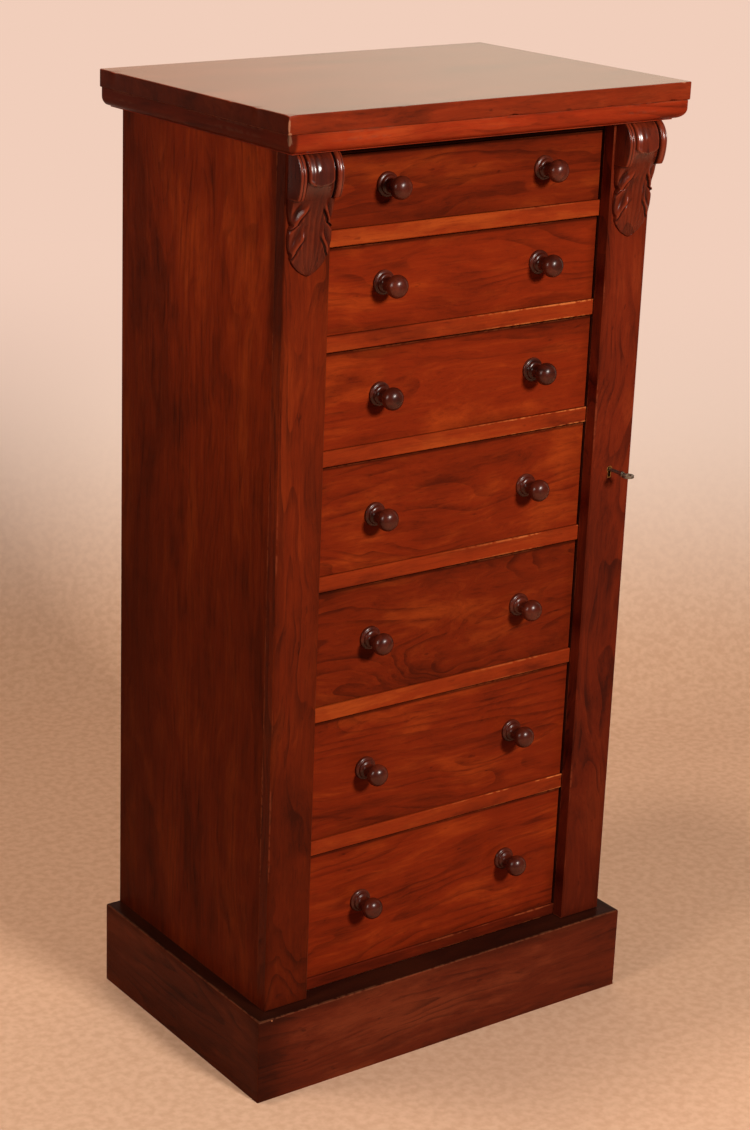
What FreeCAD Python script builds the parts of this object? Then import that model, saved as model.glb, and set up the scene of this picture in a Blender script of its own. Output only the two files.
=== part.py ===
# Wellington chest: seven graduated drawers held by one hinged locking stile.
# Millimetres, +Z up, the front faces -Y and X runs to the right of someone facing the chest.
# The origin lies on the floor, in the middle of the whole chest's footprint with its key in.
import FreeCAD, Part
import math
import os

# Case
carcass_width = 520.0
case_depth = 338.0
side_thickness = 20.0
bottom_thickness = 15.0
back_thickness = 10.0
back_rebate_width = 10.0
back_board_count = 3
back_board_gap = 0.4
housing_depth = 8.0
head_height = 35.0
wood_clearance = 0.1
arris_width = 0.9

# Stiles that stand proud at both ends of the front
stile_width = 61.0
stile_thickness = 17.5
stile_arris_width = 1.6
post_depth = 22.0

# Top board and the moulding planted under it
top_side_overhang = 21.0
top_front_overhang = 34.0
top_back_overhang = 18.0
top_thickness = 21.0
top_arris_width = 1.2
moulding_height = 23.5
moulding_radius = 12.0
moulding_quirk = 2.0
moulding_foot = 1.5

# Plinth
plinth_height = 108.0
plinth_side_projection = 20.0
plinth_front_projection = 18.0
plinth_arris_radius = 1.8
plinth_back_thickness = 20.0
plinth_back_height = 88.0
plinth_block_width = 32.0
plinth_block_height = 84.0

# Rails and what the drawers run on
rail_thickness = 18.5
rail_depth = 40.0
rail_tenon_length = 12.0
rail_tenon_width = 12.0
rail_tenon_inset = 5.0
rail_tenon_shoulder = 3.5
runner_thickness = 15.0
runner_bearing = 17.0
guide_height = 20.0
kicker_thickness = 12.0

# Drawers, the top one first
opening_1_height = 83.0
opening_2_height = 100.0
opening_3_height = 114.0
opening_4_height = 131.0
opening_5_height = 143.0
opening_6_height = 152.0
opening_7_height = 164.0
drawer_front_thickness = 20.0
drawer_recess = 2.0
drawer_side_clearance = 1.2
drawer_ride = 0.3
drawer_top_clearance = 1.8
drawer_back_space = 17.5
drawer_side_thickness = 9.0
drawer_side_step = 4.0
drawer_back_step = 6.0
drawer_panel_thickness = 7.0
drawer_panel_height = 9.0
drawer_groove_depth = 5.0
drawer_groove_clearance = 0.15
dovetail_lap = 14.0
dovetail_pitch = 34.0
fewest_dovetails = 2
dovetail_root = 15.0
dovetail_flare = 2.4
dovetail_clearance = 0.08

# Turned knobs
knob_flange_diameter = 29.0
knob_projection = 36.5
knob_tenon_diameter = 12.0
knob_hole_clearance = 0.15
knob_flats = 16
knob_from_middle = 111.5
knob_level_shares = (0.54, 0.535, 0.505, 0.49, 0.517, 0.517, 0.526)
knob_radius_shares = (1.0, 0.96, 0.73, 0.5, 0.91, 0.7, 0.2)
knob_reach_shares = (0.0, 0.08, 0.17, 0.36, 0.68, 0.9, 1.0)

# Corbels
corbel_width = 57.0
corbel_height = 136.0
corbel_top_reach = 15.0
corbel_belly_reach = 27.0
corbel_curl_reach = 21.0
corbel_belly_drop = 26.0
corbel_scroll_drop = 50.0
corbel_brow_fullness = 0.72
corbel_curl_fullness = 0.22
corbel_bead_width = 10.0
corbel_groove_width = 4.5
corbel_groove_depth = 3.0
leaf_width = 56.0
leaf_reach = 20.0
leaf_fall = 4.2
leaf_drop_shares = (0.32, 0.42, 0.53, 0.585, 0.68, 0.8, 0.92, 1.0)
leaf_span_shares = (0.94, 0.96, 1.0, 0.88, 1.0, 0.94, 0.5, 0.05)
leaf_ridge_shares = (1.0, 0.87, 0.66, 0.58, 0.5, 0.43, 0.29, 0.12)

# Locking stile and its hinges
flap_gap = 0.5
flap_end_clearance = 1.0
hinge_height = 50.0
hinge_end_margin = 95.0
hinge_below_key = 87.0
middle_knuckle_share = 1.0 / 3.0
hinge_leaf_width = 18.0
hinge_leaf_thickness = 1.2
hinge_pin_offset = 3.0
hinge_knuckle_radius = 2.7
hinge_pin_radius = 1.2
hinge_pin_clearance = 0.05
hinge_knuckle_gap = 0.2

# Lock, in millimetres from the key's own axis
keyhole_from_edge = 28.0
keyhole_height = 709.0
lock_left_reach = 20.0
lock_right_reach = 22.5
lock_drop = 12.0
lock_rise = 19.0
lock_depth = 11.0
lock_wall = 1.2
lock_clearance = 0.15
bolt_throw = 5.0
bolt_thickness = 5.0
bolt_height = 8.0
bolt_drop = 6.2
bolt_length = 30.0
talon_width = 12.6
talon_depth = 3.2
hook_width = 5.0
hook_height = 6.0
hook_lip = 4.5
hook_lip_thickness = 4.0
hook_reach = 10.0
strike_thickness = 1.2
strike_margin = 6.0
strike_slot_slack = 1.4
strike_mortise_depth = 13.0

# Key and the lining of its hole
key_reach = 40.5
key_shank_radius = 2.1
key_shank_clearance = 0.1
key_bow_radius = 7.2
key_bow_wire = 1.4
key_collar_radius = 3.3
key_collar_length = 3.0
key_collar_from_bow = 2.5
key_bit_reach = 8.6
key_bit_thickness = 2.2
key_bit_length = 4.4
lining_wall = 1.0
lining_radius = 3.2
lining_slot_width = 3.4
lining_slot_drop = 9.5

# Cutting tools run this far past what they cut
spill = 2.0

# Heights worked out from the floor up
drawer_opening_heights = (
    opening_1_height,
    opening_2_height,
    opening_3_height,
    opening_4_height,
    opening_5_height,
    opening_6_height,
    opening_7_height,
)
bottom_top_z = plinth_height + bottom_thickness
drawer_count = len(drawer_opening_heights)
opening_floor = {}
opening_ceiling = {}
level = bottom_top_z
for number in range(drawer_count, 0, -1):
    opening_floor[number] = level
    opening_ceiling[number] = level + drawer_opening_heights[number - 1]
    level = opening_ceiling[number] + rail_thickness
head_bottom_z = opening_ceiling[1]
head_top_z = head_bottom_z + head_height
moulding_bottom_z = head_top_z - moulding_height
overall_height = head_top_z + top_thickness

# Depths worked out from the front back
front_reach = max(key_reach, top_front_overhang)
total_depth = front_reach + case_depth + top_back_overhang
stile_face_y = front_reach - total_depth / 2
carcass_front_y = stile_face_y + stile_thickness
carcass_back_y = stile_face_y + case_depth
back_board_y = carcass_back_y - back_thickness
post_back_y = carcass_front_y + post_depth
rail_back_y = carcass_front_y + rail_depth
drawer_face_y = carcass_front_y + drawer_recess
drawer_front_back_y = drawer_face_y + drawer_front_thickness
drawer_end_y = back_board_y - drawer_back_space
plinth_front_y = stile_face_y - plinth_front_projection

# Widths worked out from the middle
half_width = carcass_width / 2
side_inner_x = half_width - side_thickness
opening_half = half_width - stile_width
drawer_half = opening_half - drawer_side_clearance
top_half = half_width + top_side_overhang
plinth_half = half_width + plinth_side_projection
stile_middle_x = half_width - stile_width / 2

# Locking stile and lock places
flap_back_y = carcass_front_y - flap_gap
flap_bottom_z = plinth_height + flap_end_clearance
flap_top_z = moulding_bottom_z - flap_end_clearance
hinge_x = half_width + hinge_pin_offset
hinge_y = carcass_front_y - flap_gap / 2
key_x = opening_half + keyhole_from_edge
key_z = keyhole_height


def point(x, y, z):
    """A point, or a direction, in the chest's own frame."""
    return FreeCAD.Vector(x, y, z)


def block(x_range, y_range, z_range):
    """A square-edged piece between three pairs of low and high values."""
    x_low, x_high = x_range
    y_low, y_high = y_range
    z_low, z_high = z_range
    corner = point(x_low, y_low, z_low)
    return Part.makeBox(x_high - x_low, y_high - y_low, z_high - z_low, corner)


def prism(points, direction):
    """A flat outline of straight lines, carried along a direction."""
    outline = Part.makePolygon(points + [points[0]])
    return Part.Face(outline).extrude(direction)


def other_side(shape):
    """The same piece for the other end of the chest."""
    return shape.mirror(point(0, 0, 0), point(1, 0, 0))


def edges_between(shape, low, high):
    """The edges that lie wholly inside a box given by its two corners."""
    found = []
    for edge in shape.Edges:
        box = edge.BoundBox
        inside_x = box.XMin > low[0] and box.XMax < high[0]
        inside_y = box.YMin > low[1] and box.YMax < high[1]
        inside_z = box.ZMin > low[2] and box.ZMax < high[2]
        if inside_x and inside_y and inside_z:
            found.append(edge)
    return found


def eased_front(shape, width):
    """Takes the sharpness off every arris of a piece's front face."""
    box = shape.BoundBox
    low = (box.XMin - spill, box.YMin - width / 2, box.ZMin - spill)
    high = (box.XMax + spill, box.YMin + width / 2, box.ZMax + spill)
    return shape.makeChamfer(width, edges_between(shape, low, high))


def save(name, pieces):
    """Writes one node, which holds one solid or a group of like ones."""
    shape = pieces[0] if len(pieces) == 1 else Part.makeCompound(pieces)
    shape.exportStep("parts/" + name + ".step")
    print(name, len(shape.Solids), "valid" if shape.isValid() else "NOT VALID")


def return_zone(outer_x, front_y, z_range):
    """Where a strip along the chest's right side lies, cut at 45 degrees from the outer front corner."""
    z_low, z_high = z_range
    depth = outer_x - half_width
    outline = [
        point(half_width, front_y + depth, z_low - spill),
        point(outer_x + spill, front_y - spill, z_low - spill),
        point(outer_x + spill, top_half + case_depth, z_low - spill),
        point(half_width, top_half + case_depth, z_low - spill),
    ]
    return prism(outline, point(0, 0, z_high - z_low + spill + spill))


# Top board
def make_top_board():
    """One wide board with a square edge, its arrises only just softened."""
    y_range = (stile_face_y - top_front_overhang, carcass_back_y + top_back_overhang)
    board = block((-top_half, top_half), y_range, (head_top_z, overall_height))
    return [board.makeChamfer(top_arris_width, board.Edges)]


def ovolo_outline(strip_depth, place):
    """The moulding's section: a quarter round between two small flats. place puts (inward, up) in space."""
    low_flat = moulding_foot
    round_top = moulding_foot + moulding_radius
    slant = math.sqrt(0.5)
    turn_in = moulding_radius * (1 - slant)
    turn_up = round_top - moulding_radius * slant
    foot_back = place(strip_depth, 0)
    foot_front = place(moulding_radius, 0)
    round_low = place(moulding_radius, low_flat)
    round_middle = place(turn_in, turn_up)
    round_high = place(0, round_top)
    brow = place(0, moulding_height)
    brow_back = place(strip_depth, moulding_height)
    edges = [
        Part.LineSegment(foot_back, foot_front).toShape(),
        Part.LineSegment(foot_front, round_low).toShape(),
        Part.Arc(round_low, round_middle, round_high).toShape(),
        Part.LineSegment(round_high, brow).toShape(),
        Part.LineSegment(brow, brow_back).toShape(),
        Part.LineSegment(brow_back, foot_back).toShape(),
    ]
    return Part.Face(Part.Wire(edges))


# Moulding under the top
def make_top_moulding():
    """A front strip and two mitred returns of quarter-round moulding, which run on under the top."""
    outer_x = top_half - moulding_quirk
    outer_y = stile_face_y - top_front_overhang + moulding_quirk
    front_depth = stile_face_y - outer_y
    side_depth = outer_x - half_width

    def on_front(inward, up):
        return point(-outer_x, outer_y + inward, moulding_bottom_z + up)

    def on_side(inward, up):
        return point(outer_x - inward, outer_y, moulding_bottom_z + up)

    front = ovolo_outline(front_depth, on_front).extrude(point(outer_x + outer_x, 0, 0))
    return_length = carcass_back_y + top_back_overhang - moulding_quirk - outer_y
    side = ovolo_outline(side_depth, on_side).extrude(point(0, return_length, 0))
    zone = return_zone(outer_x, outer_y, (moulding_bottom_z, head_top_z))
    right_return = side.common(zone)
    front = front.cut(zone).cut(other_side(zone))
    return [front.Solids[0], right_return.Solids[0], other_side(right_return.Solids[0])]


# Strip that brings the head out level with the stiles
def make_frieze():
    """A plain strip behind the front moulding, over the stiles and the top rail."""
    x_range = (-half_width, half_width)
    return [block(x_range, (stile_face_y, carcass_front_y), (moulding_bottom_z, head_top_z))]


def rail_between_posts(z_range, depth):
    """A cross rail with a stub tenon at each end, let into the posts."""
    z_low, z_high = z_range
    y_range = (carcass_front_y, carcass_front_y + depth)
    rail = block((-opening_half, opening_half), y_range, z_range)
    rail = eased_front(rail, arris_width)
    tenon_y = (carcass_front_y + rail_tenon_inset, carcass_front_y + rail_tenon_inset + rail_tenon_width)
    tenon_z = (z_low + rail_tenon_shoulder, z_high - rail_tenon_shoulder)
    length = opening_half + rail_tenon_length
    return rail.fuse(block((-length, length), tenon_y, tenon_z)).removeSplitter()


def post_mortise(z_range):
    """The socket in the right-hand post for one rail's tenon."""
    z_low, z_high = z_range
    gap = wood_clearance
    x_range = (opening_half - spill, opening_half + rail_tenon_length + gap)
    front = carcass_front_y + rail_tenon_inset
    y_range = (front - gap, front + rail_tenon_width + gap)
    tenon_z = (z_low + rail_tenon_shoulder - gap, z_high - rail_tenon_shoulder + gap)
    return block(x_range, y_range, tenon_z)


def rail_span(number):
    """Low and high of the rail under a drawer's opening."""
    return (opening_floor[number] - rail_thickness, opening_floor[number])


# Carcass sides
def make_side():
    """The right-hand side, from the floor to the top, rebated for the back and housed for the bottom."""
    board = block((side_inner_x, half_width), (carcass_front_y, carcass_back_y), (0, head_top_z))
    rebate_x = (side_inner_x - spill, side_inner_x + back_rebate_width)
    rebate = block(rebate_x, (back_board_y, carcass_back_y + spill), (plinth_height, head_top_z + spill))
    housing_x = (side_inner_x - spill, side_inner_x + housing_depth + wood_clearance)
    housing_z = (plinth_height - wood_clearance, bottom_top_z + wood_clearance)
    housing = block(housing_x, (carcass_front_y + side_thickness, back_board_y), housing_z)
    return board.cut(rebate).cut(housing)


def leaf_recess(z_middle):
    """The shallow bed cut for the fixed leaf of one hinge."""
    x_range = (half_width - hinge_leaf_width, half_width + spill)
    y_range = (carcass_front_y - spill, carcass_front_y + hinge_leaf_thickness)
    return block(x_range, y_range, (z_middle - hinge_height / 2, z_middle + hinge_height / 2))


def hinge_middles():
    """Heights of the hinges: one near each end of the stile and one below the lock."""
    return [flap_bottom_z + hinge_end_margin, key_z - hinge_below_key, flap_top_z - hinge_end_margin]


# Carcass bottom, whose front edge shows under the lowest drawer
def make_carcass_bottom():
    """The bottom board, with tongues that enter the sides and a notch for the back."""
    x_range = (-side_inner_x, side_inner_x)
    board = block(x_range, (carcass_front_y, back_board_y), (plinth_height, bottom_top_z))
    board = eased_front(board, arris_width)
    reach = side_inner_x + housing_depth
    tongue_y = (carcass_front_y + side_thickness + wood_clearance, back_board_y)
    return board.fuse(block((-reach, reach), tongue_y, (plinth_height, bottom_top_z))).removeSplitter()


# Back boards
def make_back_boards():
    """Upright boards in the rebates of the sides."""
    reach = side_inner_x + back_rebate_width - wood_clearance
    width = (reach + reach - back_board_gap * (back_board_count - 1)) / back_board_count
    boards = []
    for place in range(back_board_count):
        left = -reach + place * (width + back_board_gap)
        x_range = (left, left + width)
        boards.append(block(x_range, (back_board_y, carcass_back_y), (plinth_height, head_top_z)))
    return boards


# Posts behind the stiles
def make_post():
    """The right-hand post, glued to the side, with a mortise for each rail."""
    post = block((opening_half, side_inner_x), (carcass_front_y, post_back_y), (bottom_top_z, head_top_z))
    for number in range(1, drawer_count):
        post = post.cut(post_mortise(rail_span(number)))
    return post.cut(post_mortise((head_bottom_z, head_top_z)))


# Rails and strips that carry the drawers
def make_top_rails():
    """The front rail over the first drawer and a plain one at the back."""
    front = rail_between_posts((head_bottom_z, head_top_z), rail_depth)
    back_z = (head_top_z - rail_thickness, head_top_z)
    back = block((-side_inner_x, side_inner_x), (back_board_y - rail_depth, back_board_y), back_z)
    return [front, back]


def make_runners():
    """Two runners behind each rail, and two kickers over the first drawer."""
    strips = []
    x_range = (drawer_half - runner_bearing, side_inner_x)
    for number in range(1, drawer_count):
        top = opening_floor[number]
        runner = block(x_range, (rail_back_y, back_board_y), (top - runner_thickness, top))
        strips.append(runner)
        strips.append(other_side(runner))
    kicker_z = (head_bottom_z, head_bottom_z + kicker_thickness)
    kicker = block(x_range, (rail_back_y, back_board_y), kicker_z)
    return strips + [kicker, other_side(kicker)]


def make_guides():
    """Strips between the sides and the drawers that keep each drawer straight."""
    strips = []
    for number in range(1, drawer_count + 1):
        floor = opening_floor[number]
        x_range = (opening_half, side_inner_x)
        guide = block(x_range, (rail_back_y, back_board_y), (floor, floor + guide_height))
        strips.append(guide)
        strips.append(other_side(guide))
    return strips


# Plinth
def make_plinth():
    """A thick front board mitred to two side boards, all planted on the carcass."""
    front = block((-plinth_half, plinth_half), (plinth_front_y, carcass_front_y), (0, plinth_height))
    side = block((half_width, plinth_half), (plinth_front_y, carcass_back_y), (0, plinth_height))
    zone = return_zone(plinth_half, plinth_front_y, (0, plinth_height))
    front = front.cut(zone).cut(other_side(zone)).Solids[0]
    side = side.common(zone).Solids[0]
    near = plinth_arris_radius / 2
    low = (-plinth_half - spill, plinth_front_y - near, plinth_height - near)
    high = (plinth_half + spill, plinth_front_y + near, plinth_height + near)
    front = front.makeFillet(plinth_arris_radius, edges_between(front, low, high))
    low = (plinth_half - near, plinth_front_y - spill, plinth_height - near)
    high = (plinth_half + near, carcass_back_y + spill, plinth_height + near)
    side = side.makeFillet(plinth_arris_radius, edges_between(side, low, high))
    return front, side


def make_plinth_inner():
    """The back board of the plinth and the four blocks under the carcass bottom."""
    back_y = (carcass_back_y - plinth_back_thickness, carcass_back_y)
    back_z = (plinth_height - plinth_back_height, plinth_height)
    pieces = [block((-side_inner_x, side_inner_x), back_y, back_z)]
    block_x = (side_inner_x - plinth_block_width, side_inner_x)
    block_z = (plinth_height - plinth_block_height, plinth_height)
    front_y = (carcass_front_y, carcass_front_y + plinth_block_width)
    rear_end_y = carcass_back_y - plinth_back_thickness
    rear_y = (rear_end_y - plinth_block_width, rear_end_y)
    for y_range in (front_y, rear_y):
        corner = block(block_x, y_range, block_z)
        pieces.append(corner)
        pieces.append(other_side(corner))
    return pieces


# Stiles and corbels
def stile_board(y_range, z_range):
    """The right-hand stile's board, with its front arrises rounded."""
    return eased_front(block((opening_half, half_width), y_range, z_range), stile_arris_width)


def scroll_slice(x_range, top_z, inset):
    """One slice of the corbel's roll, set back by inset, as a side outline carried across."""
    x_low, x_high = x_range

    def at(reach, drop):
        return point(x_low, stile_face_y - reach, top_z - drop)

    belly = corbel_belly_reach - inset
    brow = corbel_top_reach - inset
    curl = corbel_curl_reach - inset
    half_drop = corbel_belly_drop / 2
    curl_drop = (corbel_belly_drop + corbel_scroll_drop) / 2
    swell = (belly - brow) * corbel_brow_fullness
    tuck = (belly - curl) * corbel_curl_fullness
    edges = [
        Part.LineSegment(at(0, 0), at(brow, 0)).toShape(),
        Part.Arc(at(brow, 0), at(brow + swell, half_drop), at(belly, corbel_belly_drop)).toShape(),
        Part.Arc(
            at(belly, corbel_belly_drop),
            at(belly - tuck, curl_drop),
            at(curl, corbel_scroll_drop),
        ).toShape(),
        Part.LineSegment(at(curl, corbel_scroll_drop), at(0, corbel_scroll_drop)).toShape(),
        Part.LineSegment(at(0, corbel_scroll_drop), at(0, 0)).toShape(),
    ]
    return Part.Face(Part.Wire(edges)).extrude(point(x_high - x_low, 0, 0))


def make_leaf(top_z):
    """A lobed leaf cut from a board: its outline, then two faces that fall away from a ridge."""
    drops = [corbel_height * share for share in leaf_drop_shares]
    halves = [leaf_width * share / 2 for share in leaf_span_shares]
    ridges = [leaf_reach * share for share in leaf_ridge_shares]
    right = []
    left = []
    ridge = []
    for half, reach, drop in zip(halves, ridges, drops):
        right.append(point(stile_middle_x + half, stile_face_y, top_z - drop))
        left.append(point(stile_middle_x - half, stile_face_y, top_z - drop))
        ridge.append(point(stile_middle_x, stile_face_y - reach, top_z - drop))
    outline = prism(right + left[::-1], point(0, -leaf_reach - spill, 0))
    foot = point(stile_middle_x, stile_face_y, top_z - drops[-1])
    head = point(stile_middle_x, stile_face_y, top_z - drops[0])
    side_outline = ridge + [foot, head]
    across = leaf_width / 2
    right_half = prism(side_outline, point(across, leaf_fall, 0))
    left_half = prism(side_outline, point(-across, leaf_fall, 0))
    return outline.common(right_half).fuse(outline.common(left_half))


def make_corbel(top_z):
    """A scroll with two grooves across its face, and a lobed leaf hanging from it."""
    left = stile_middle_x - corbel_width / 2
    first_groove = left + corbel_bead_width
    band_start = first_groove + corbel_groove_width
    second_groove = left + corbel_width - corbel_bead_width - corbel_groove_width
    last_bead = second_groove + corbel_groove_width
    right = left + corbel_width
    slices = [
        scroll_slice((left, first_groove), top_z, 0),
        scroll_slice((first_groove, band_start), top_z, corbel_groove_depth),
        scroll_slice((band_start, second_groove), top_z, 0),
        scroll_slice((second_groove, last_bead), top_z, corbel_groove_depth),
        scroll_slice((last_bead, right), top_z, 0),
    ]
    return slices[0].fuse(slices[1:] + [make_leaf(top_z)]).removeSplitter()


def keyhole_outline(grow):
    """A round hole with a slot below it, in the plane of the stile's face."""
    radius = lining_radius + grow
    half = lining_slot_width / 2 + grow
    rise = math.sqrt(radius * radius - half * half)
    foot = key_z - lining_slot_drop - grow
    start = point(key_x - half, stile_face_y, key_z - rise)
    crown = point(key_x, stile_face_y, key_z + radius)
    end = point(key_x + half, stile_face_y, key_z - rise)
    foot_right = point(key_x + half, stile_face_y, foot)
    foot_left = point(key_x - half, stile_face_y, foot)
    edges = [
        Part.Arc(start, crown, end).toShape(),
        Part.LineSegment(end, foot_right).toShape(),
        Part.LineSegment(foot_right, foot_left).toShape(),
        Part.LineSegment(foot_left, start).toShape(),
    ]
    return Part.Face(Part.Wire(edges))


lock_x = (key_x - lock_left_reach, key_x + lock_right_reach)
lock_y = (flap_back_y - lock_depth, flap_back_y)
lock_z = (key_z - lock_drop, key_z + lock_rise)


# Locking stile
def make_locking_stile():
    """The hinged stile, mortised for its lock and bedded for its hinge leaves."""
    board = stile_board((stile_face_y, flap_back_y), (flap_bottom_z, flap_top_z))
    gap = lock_clearance
    pocket = block(
        (lock_x[0] - gap, lock_x[1] + gap),
        (lock_y[0] - gap, flap_back_y + spill),
        (lock_z[0] - gap, lock_z[1] + gap),
    )
    board = board.cut(pocket)
    through = keyhole_outline(lining_wall).extrude(point(0, stile_thickness, 0))
    board = board.cut(through)
    for z_middle in hinge_middles():
        x_range = (half_width - hinge_leaf_width, half_width + spill)
        y_range = (flap_back_y - hinge_leaf_thickness, flap_back_y + spill)
        bed = block(x_range, y_range, (z_middle - hinge_height / 2, z_middle + hinge_height / 2))
        board = board.cut(bed)
    return board


def make_key_lining():
    """A thin brass wall round the keyhole, let in flush with the face."""
    depth = lock_y[0] - lock_clearance - stile_face_y
    outer = keyhole_outline(lining_wall).extrude(point(0, depth, 0))
    inner = keyhole_outline(0).extrude(point(0, depth, 0))
    return outer.cut(inner)


# Hinges
def knuckle(z_range):
    """One length of hinge barrel."""
    z_low, z_high = z_range
    return Part.makeCylinder(hinge_knuckle_radius, z_high - z_low, point(hinge_x, hinge_y, z_low))


def make_fixed_leaf(z_middle):
    """The leaf on the carcass, its two end knuckles and the pin through all three."""
    half = hinge_height / 2
    third = half * middle_knuckle_share
    y_range = (carcass_front_y, carcass_front_y + hinge_leaf_thickness)
    leaf = block((half_width - hinge_leaf_width, half_width), y_range, (z_middle - half, z_middle + half))
    pin = Part.makeCylinder(hinge_pin_radius, hinge_height, point(hinge_x, hinge_y, z_middle - half))
    pieces = [pin]
    for z_range in ((z_middle - half, z_middle - third), (z_middle + third, z_middle + half)):
        pieces.append(knuckle(z_range))
        pieces.append(block((half_width, hinge_x), y_range, z_range))
    return leaf.fuse(pieces).removeSplitter()


def make_moving_leaf(z_middle):
    """The leaf on the locking stile with its one middle knuckle."""
    half = hinge_height / 2
    third = half * middle_knuckle_share - hinge_knuckle_gap
    y_range = (flap_back_y - hinge_leaf_thickness, flap_back_y)
    leaf = block((half_width - hinge_leaf_width, half_width), y_range, (z_middle - half, z_middle + half))
    z_range = (z_middle - third, z_middle + third)
    strap = block((half_width, hinge_x), y_range, z_range)
    radius = hinge_pin_radius + hinge_pin_clearance
    hole = Part.makeCylinder(radius, hinge_height, point(hinge_x, hinge_y, z_middle - half))
    barrel = knuckle(z_range)
    return leaf.fuse([strap, barrel]).removeSplitter().cut(hole)


# Lock
bolt_y = (lock_y[0] + lock_wall + lock_clearance, lock_y[0] + lock_wall + lock_clearance + bolt_thickness)
bolt_z = (key_z + bolt_drop, key_z + bolt_drop + bolt_height)
talon_middle_x = key_x + bolt_throw / 2
bolt_x = (talon_middle_x - bolt_length / 2, talon_middle_x + bolt_length / 2)
hook_x = (bolt_x[0], bolt_x[0] + hook_width)
hook_z = (bolt_z[1] - hook_height, bolt_z[1])
hook_end_y = carcass_front_y + hook_reach


def make_lock_case():
    """A thin-walled box with a hole for the key and a slot where the hook comes out."""
    case = block(lock_x, lock_y, lock_z)
    inside_x = (lock_x[0] + lock_wall, lock_x[1] - lock_wall)
    inside_y = (lock_y[0] + lock_wall, lock_y[1] - lock_wall)
    inside_z = (lock_z[0] + lock_wall, lock_z[1] - lock_wall)
    case = case.cut(block(inside_x, inside_y, inside_z))
    radius = key_shank_radius + key_shank_clearance
    wall = lock_wall + spill
    case = case.cut(Part.makeCylinder(radius, wall, point(key_x, lock_y[0] - spill, key_z), point(0, 1, 0)))
    half = lining_slot_width / 2
    slot_z = (key_z - key_bit_reach - lock_clearance, key_z)
    case = case.cut(block((key_x - half, key_x + half), (lock_y[0] - spill, lock_y[0] + lock_wall), slot_z))
    gap = strike_slot_slack
    hook_slot_x = (hook_x[0] - bolt_throw - gap, hook_x[1] + gap)
    hook_slot_z = (hook_z[0] - lock_clearance, hook_z[1] + lock_clearance)
    return case.cut(block(hook_slot_x, (lock_y[1] - lock_wall, lock_y[1] + spill), hook_slot_z))


def make_lock_bolt():
    """A flat bolt with a talon for the key's bit and a hook that catches behind the strike."""
    plate = block(bolt_x, bolt_y, bolt_z)
    half = talon_width / 2
    talon_z = (bolt_z[0] - spill, bolt_z[0] + talon_depth)
    talon_x = (talon_middle_x - half, talon_middle_x + half)
    plate = plate.cut(block(talon_x, (bolt_y[0] - spill, bolt_y[1] + spill), talon_z))
    stem = block(hook_x, (bolt_y[0], hook_end_y), hook_z)
    lip_y = (hook_end_y - hook_lip_thickness, hook_end_y)
    lip = block((hook_x[0] - hook_lip, hook_x[1]), lip_y, hook_z)
    return plate.fuse([stem, lip]).removeSplitter()


strike_slot_x = (hook_x[0] - hook_lip - strike_slot_slack, hook_x[1] + strike_slot_slack)
strike_slot_z = (hook_z[0] - strike_slot_slack, hook_z[1] + strike_slot_slack)
strike_z = (hook_z[0] - strike_margin, hook_z[1] + strike_margin)
strike_x = (opening_half + lining_wall, strike_slot_x[1] + strike_margin)


def make_strike_plate():
    """A flat brass plate on the post with a slot for the hook."""
    y_range = (carcass_front_y, carcass_front_y + strike_thickness)
    plate = block(strike_x, y_range, strike_z)
    return plate.cut(block(strike_slot_x, (y_range[0] - spill, y_range[1] + spill), strike_slot_z))


def cut_for_strike(post):
    """Beds the strike plate in the post and hollows the post behind it."""
    bed = block(strike_x, (carcass_front_y - spill, carcass_front_y + strike_thickness), strike_z)
    room_x = (strike_slot_x[0] - bolt_throw, strike_slot_x[1])
    room = block(room_x, (carcass_front_y - spill, carcass_front_y + strike_mortise_depth), strike_slot_z)
    return post.cut(bed).cut(room)


def make_key():
    """A round shank with a bit at one end, a collar, and a ring that lies flat in the photograph's pose."""
    ring_end_y = stile_face_y - key_reach
    ring_y = ring_end_y + key_bow_radius
    ring_foot = point(key_x, ring_y, key_z - key_bow_wire)
    ring = Part.makeCylinder(key_bow_radius, key_bow_wire + key_bow_wire, ring_foot)
    eye_radius = key_bow_radius - key_bow_wire - key_bow_wire
    eye_foot = point(key_x, ring_y, key_z - key_bow_wire - spill)
    ring = ring.cut(Part.makeCylinder(eye_radius, key_bow_wire + key_bow_wire + spill + spill, eye_foot))
    shank_start_y = ring_y + key_bow_radius - key_bow_wire
    tip_y = bolt_y[1]
    inward = point(0, 1, 0)
    shank_start = point(key_x, shank_start_y, key_z)
    shank = Part.makeCylinder(key_shank_radius, tip_y - shank_start_y, shank_start, inward)
    collar_start = point(key_x, ring_y + key_bow_radius + key_collar_from_bow, key_z)
    collar = Part.makeCylinder(key_collar_radius, key_collar_length, collar_start, inward)
    half = key_bit_thickness / 2
    bit_y = (tip_y - key_bit_length, tip_y)
    bit = block((key_x, key_x + key_bit_reach), bit_y, (key_z - half, key_z + half))
    return shank.fuse([ring, collar, bit]).removeSplitter()


# Drawers
def dovetail_middles(z_range):
    """Heights of the tails on a drawer side, evenly spread."""
    z_low, z_high = z_range
    count = max(fewest_dovetails, int((z_high - z_low) / dovetail_pitch))
    step = (z_high - z_low) / count
    return [z_low + step / 2 + step * place for place in range(count)]


def dovetail(x_range, root_y, tip_y, z_middle, grow):
    """One tail, which widens from its root to its tip."""
    x_low, x_high = x_range
    root = dovetail_root / 2 + grow
    tip = dovetail_root / 2 + dovetail_flare + grow
    reach = grow if tip_y > root_y else -grow
    outline = [
        point(x_low, root_y, z_middle - root),
        point(x_low, tip_y + reach, z_middle - tip),
        point(x_low, tip_y + reach, z_middle + tip),
        point(x_low, root_y, z_middle + root),
    ]
    return prism(outline, point(x_high - x_low, 0, 0))


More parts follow.
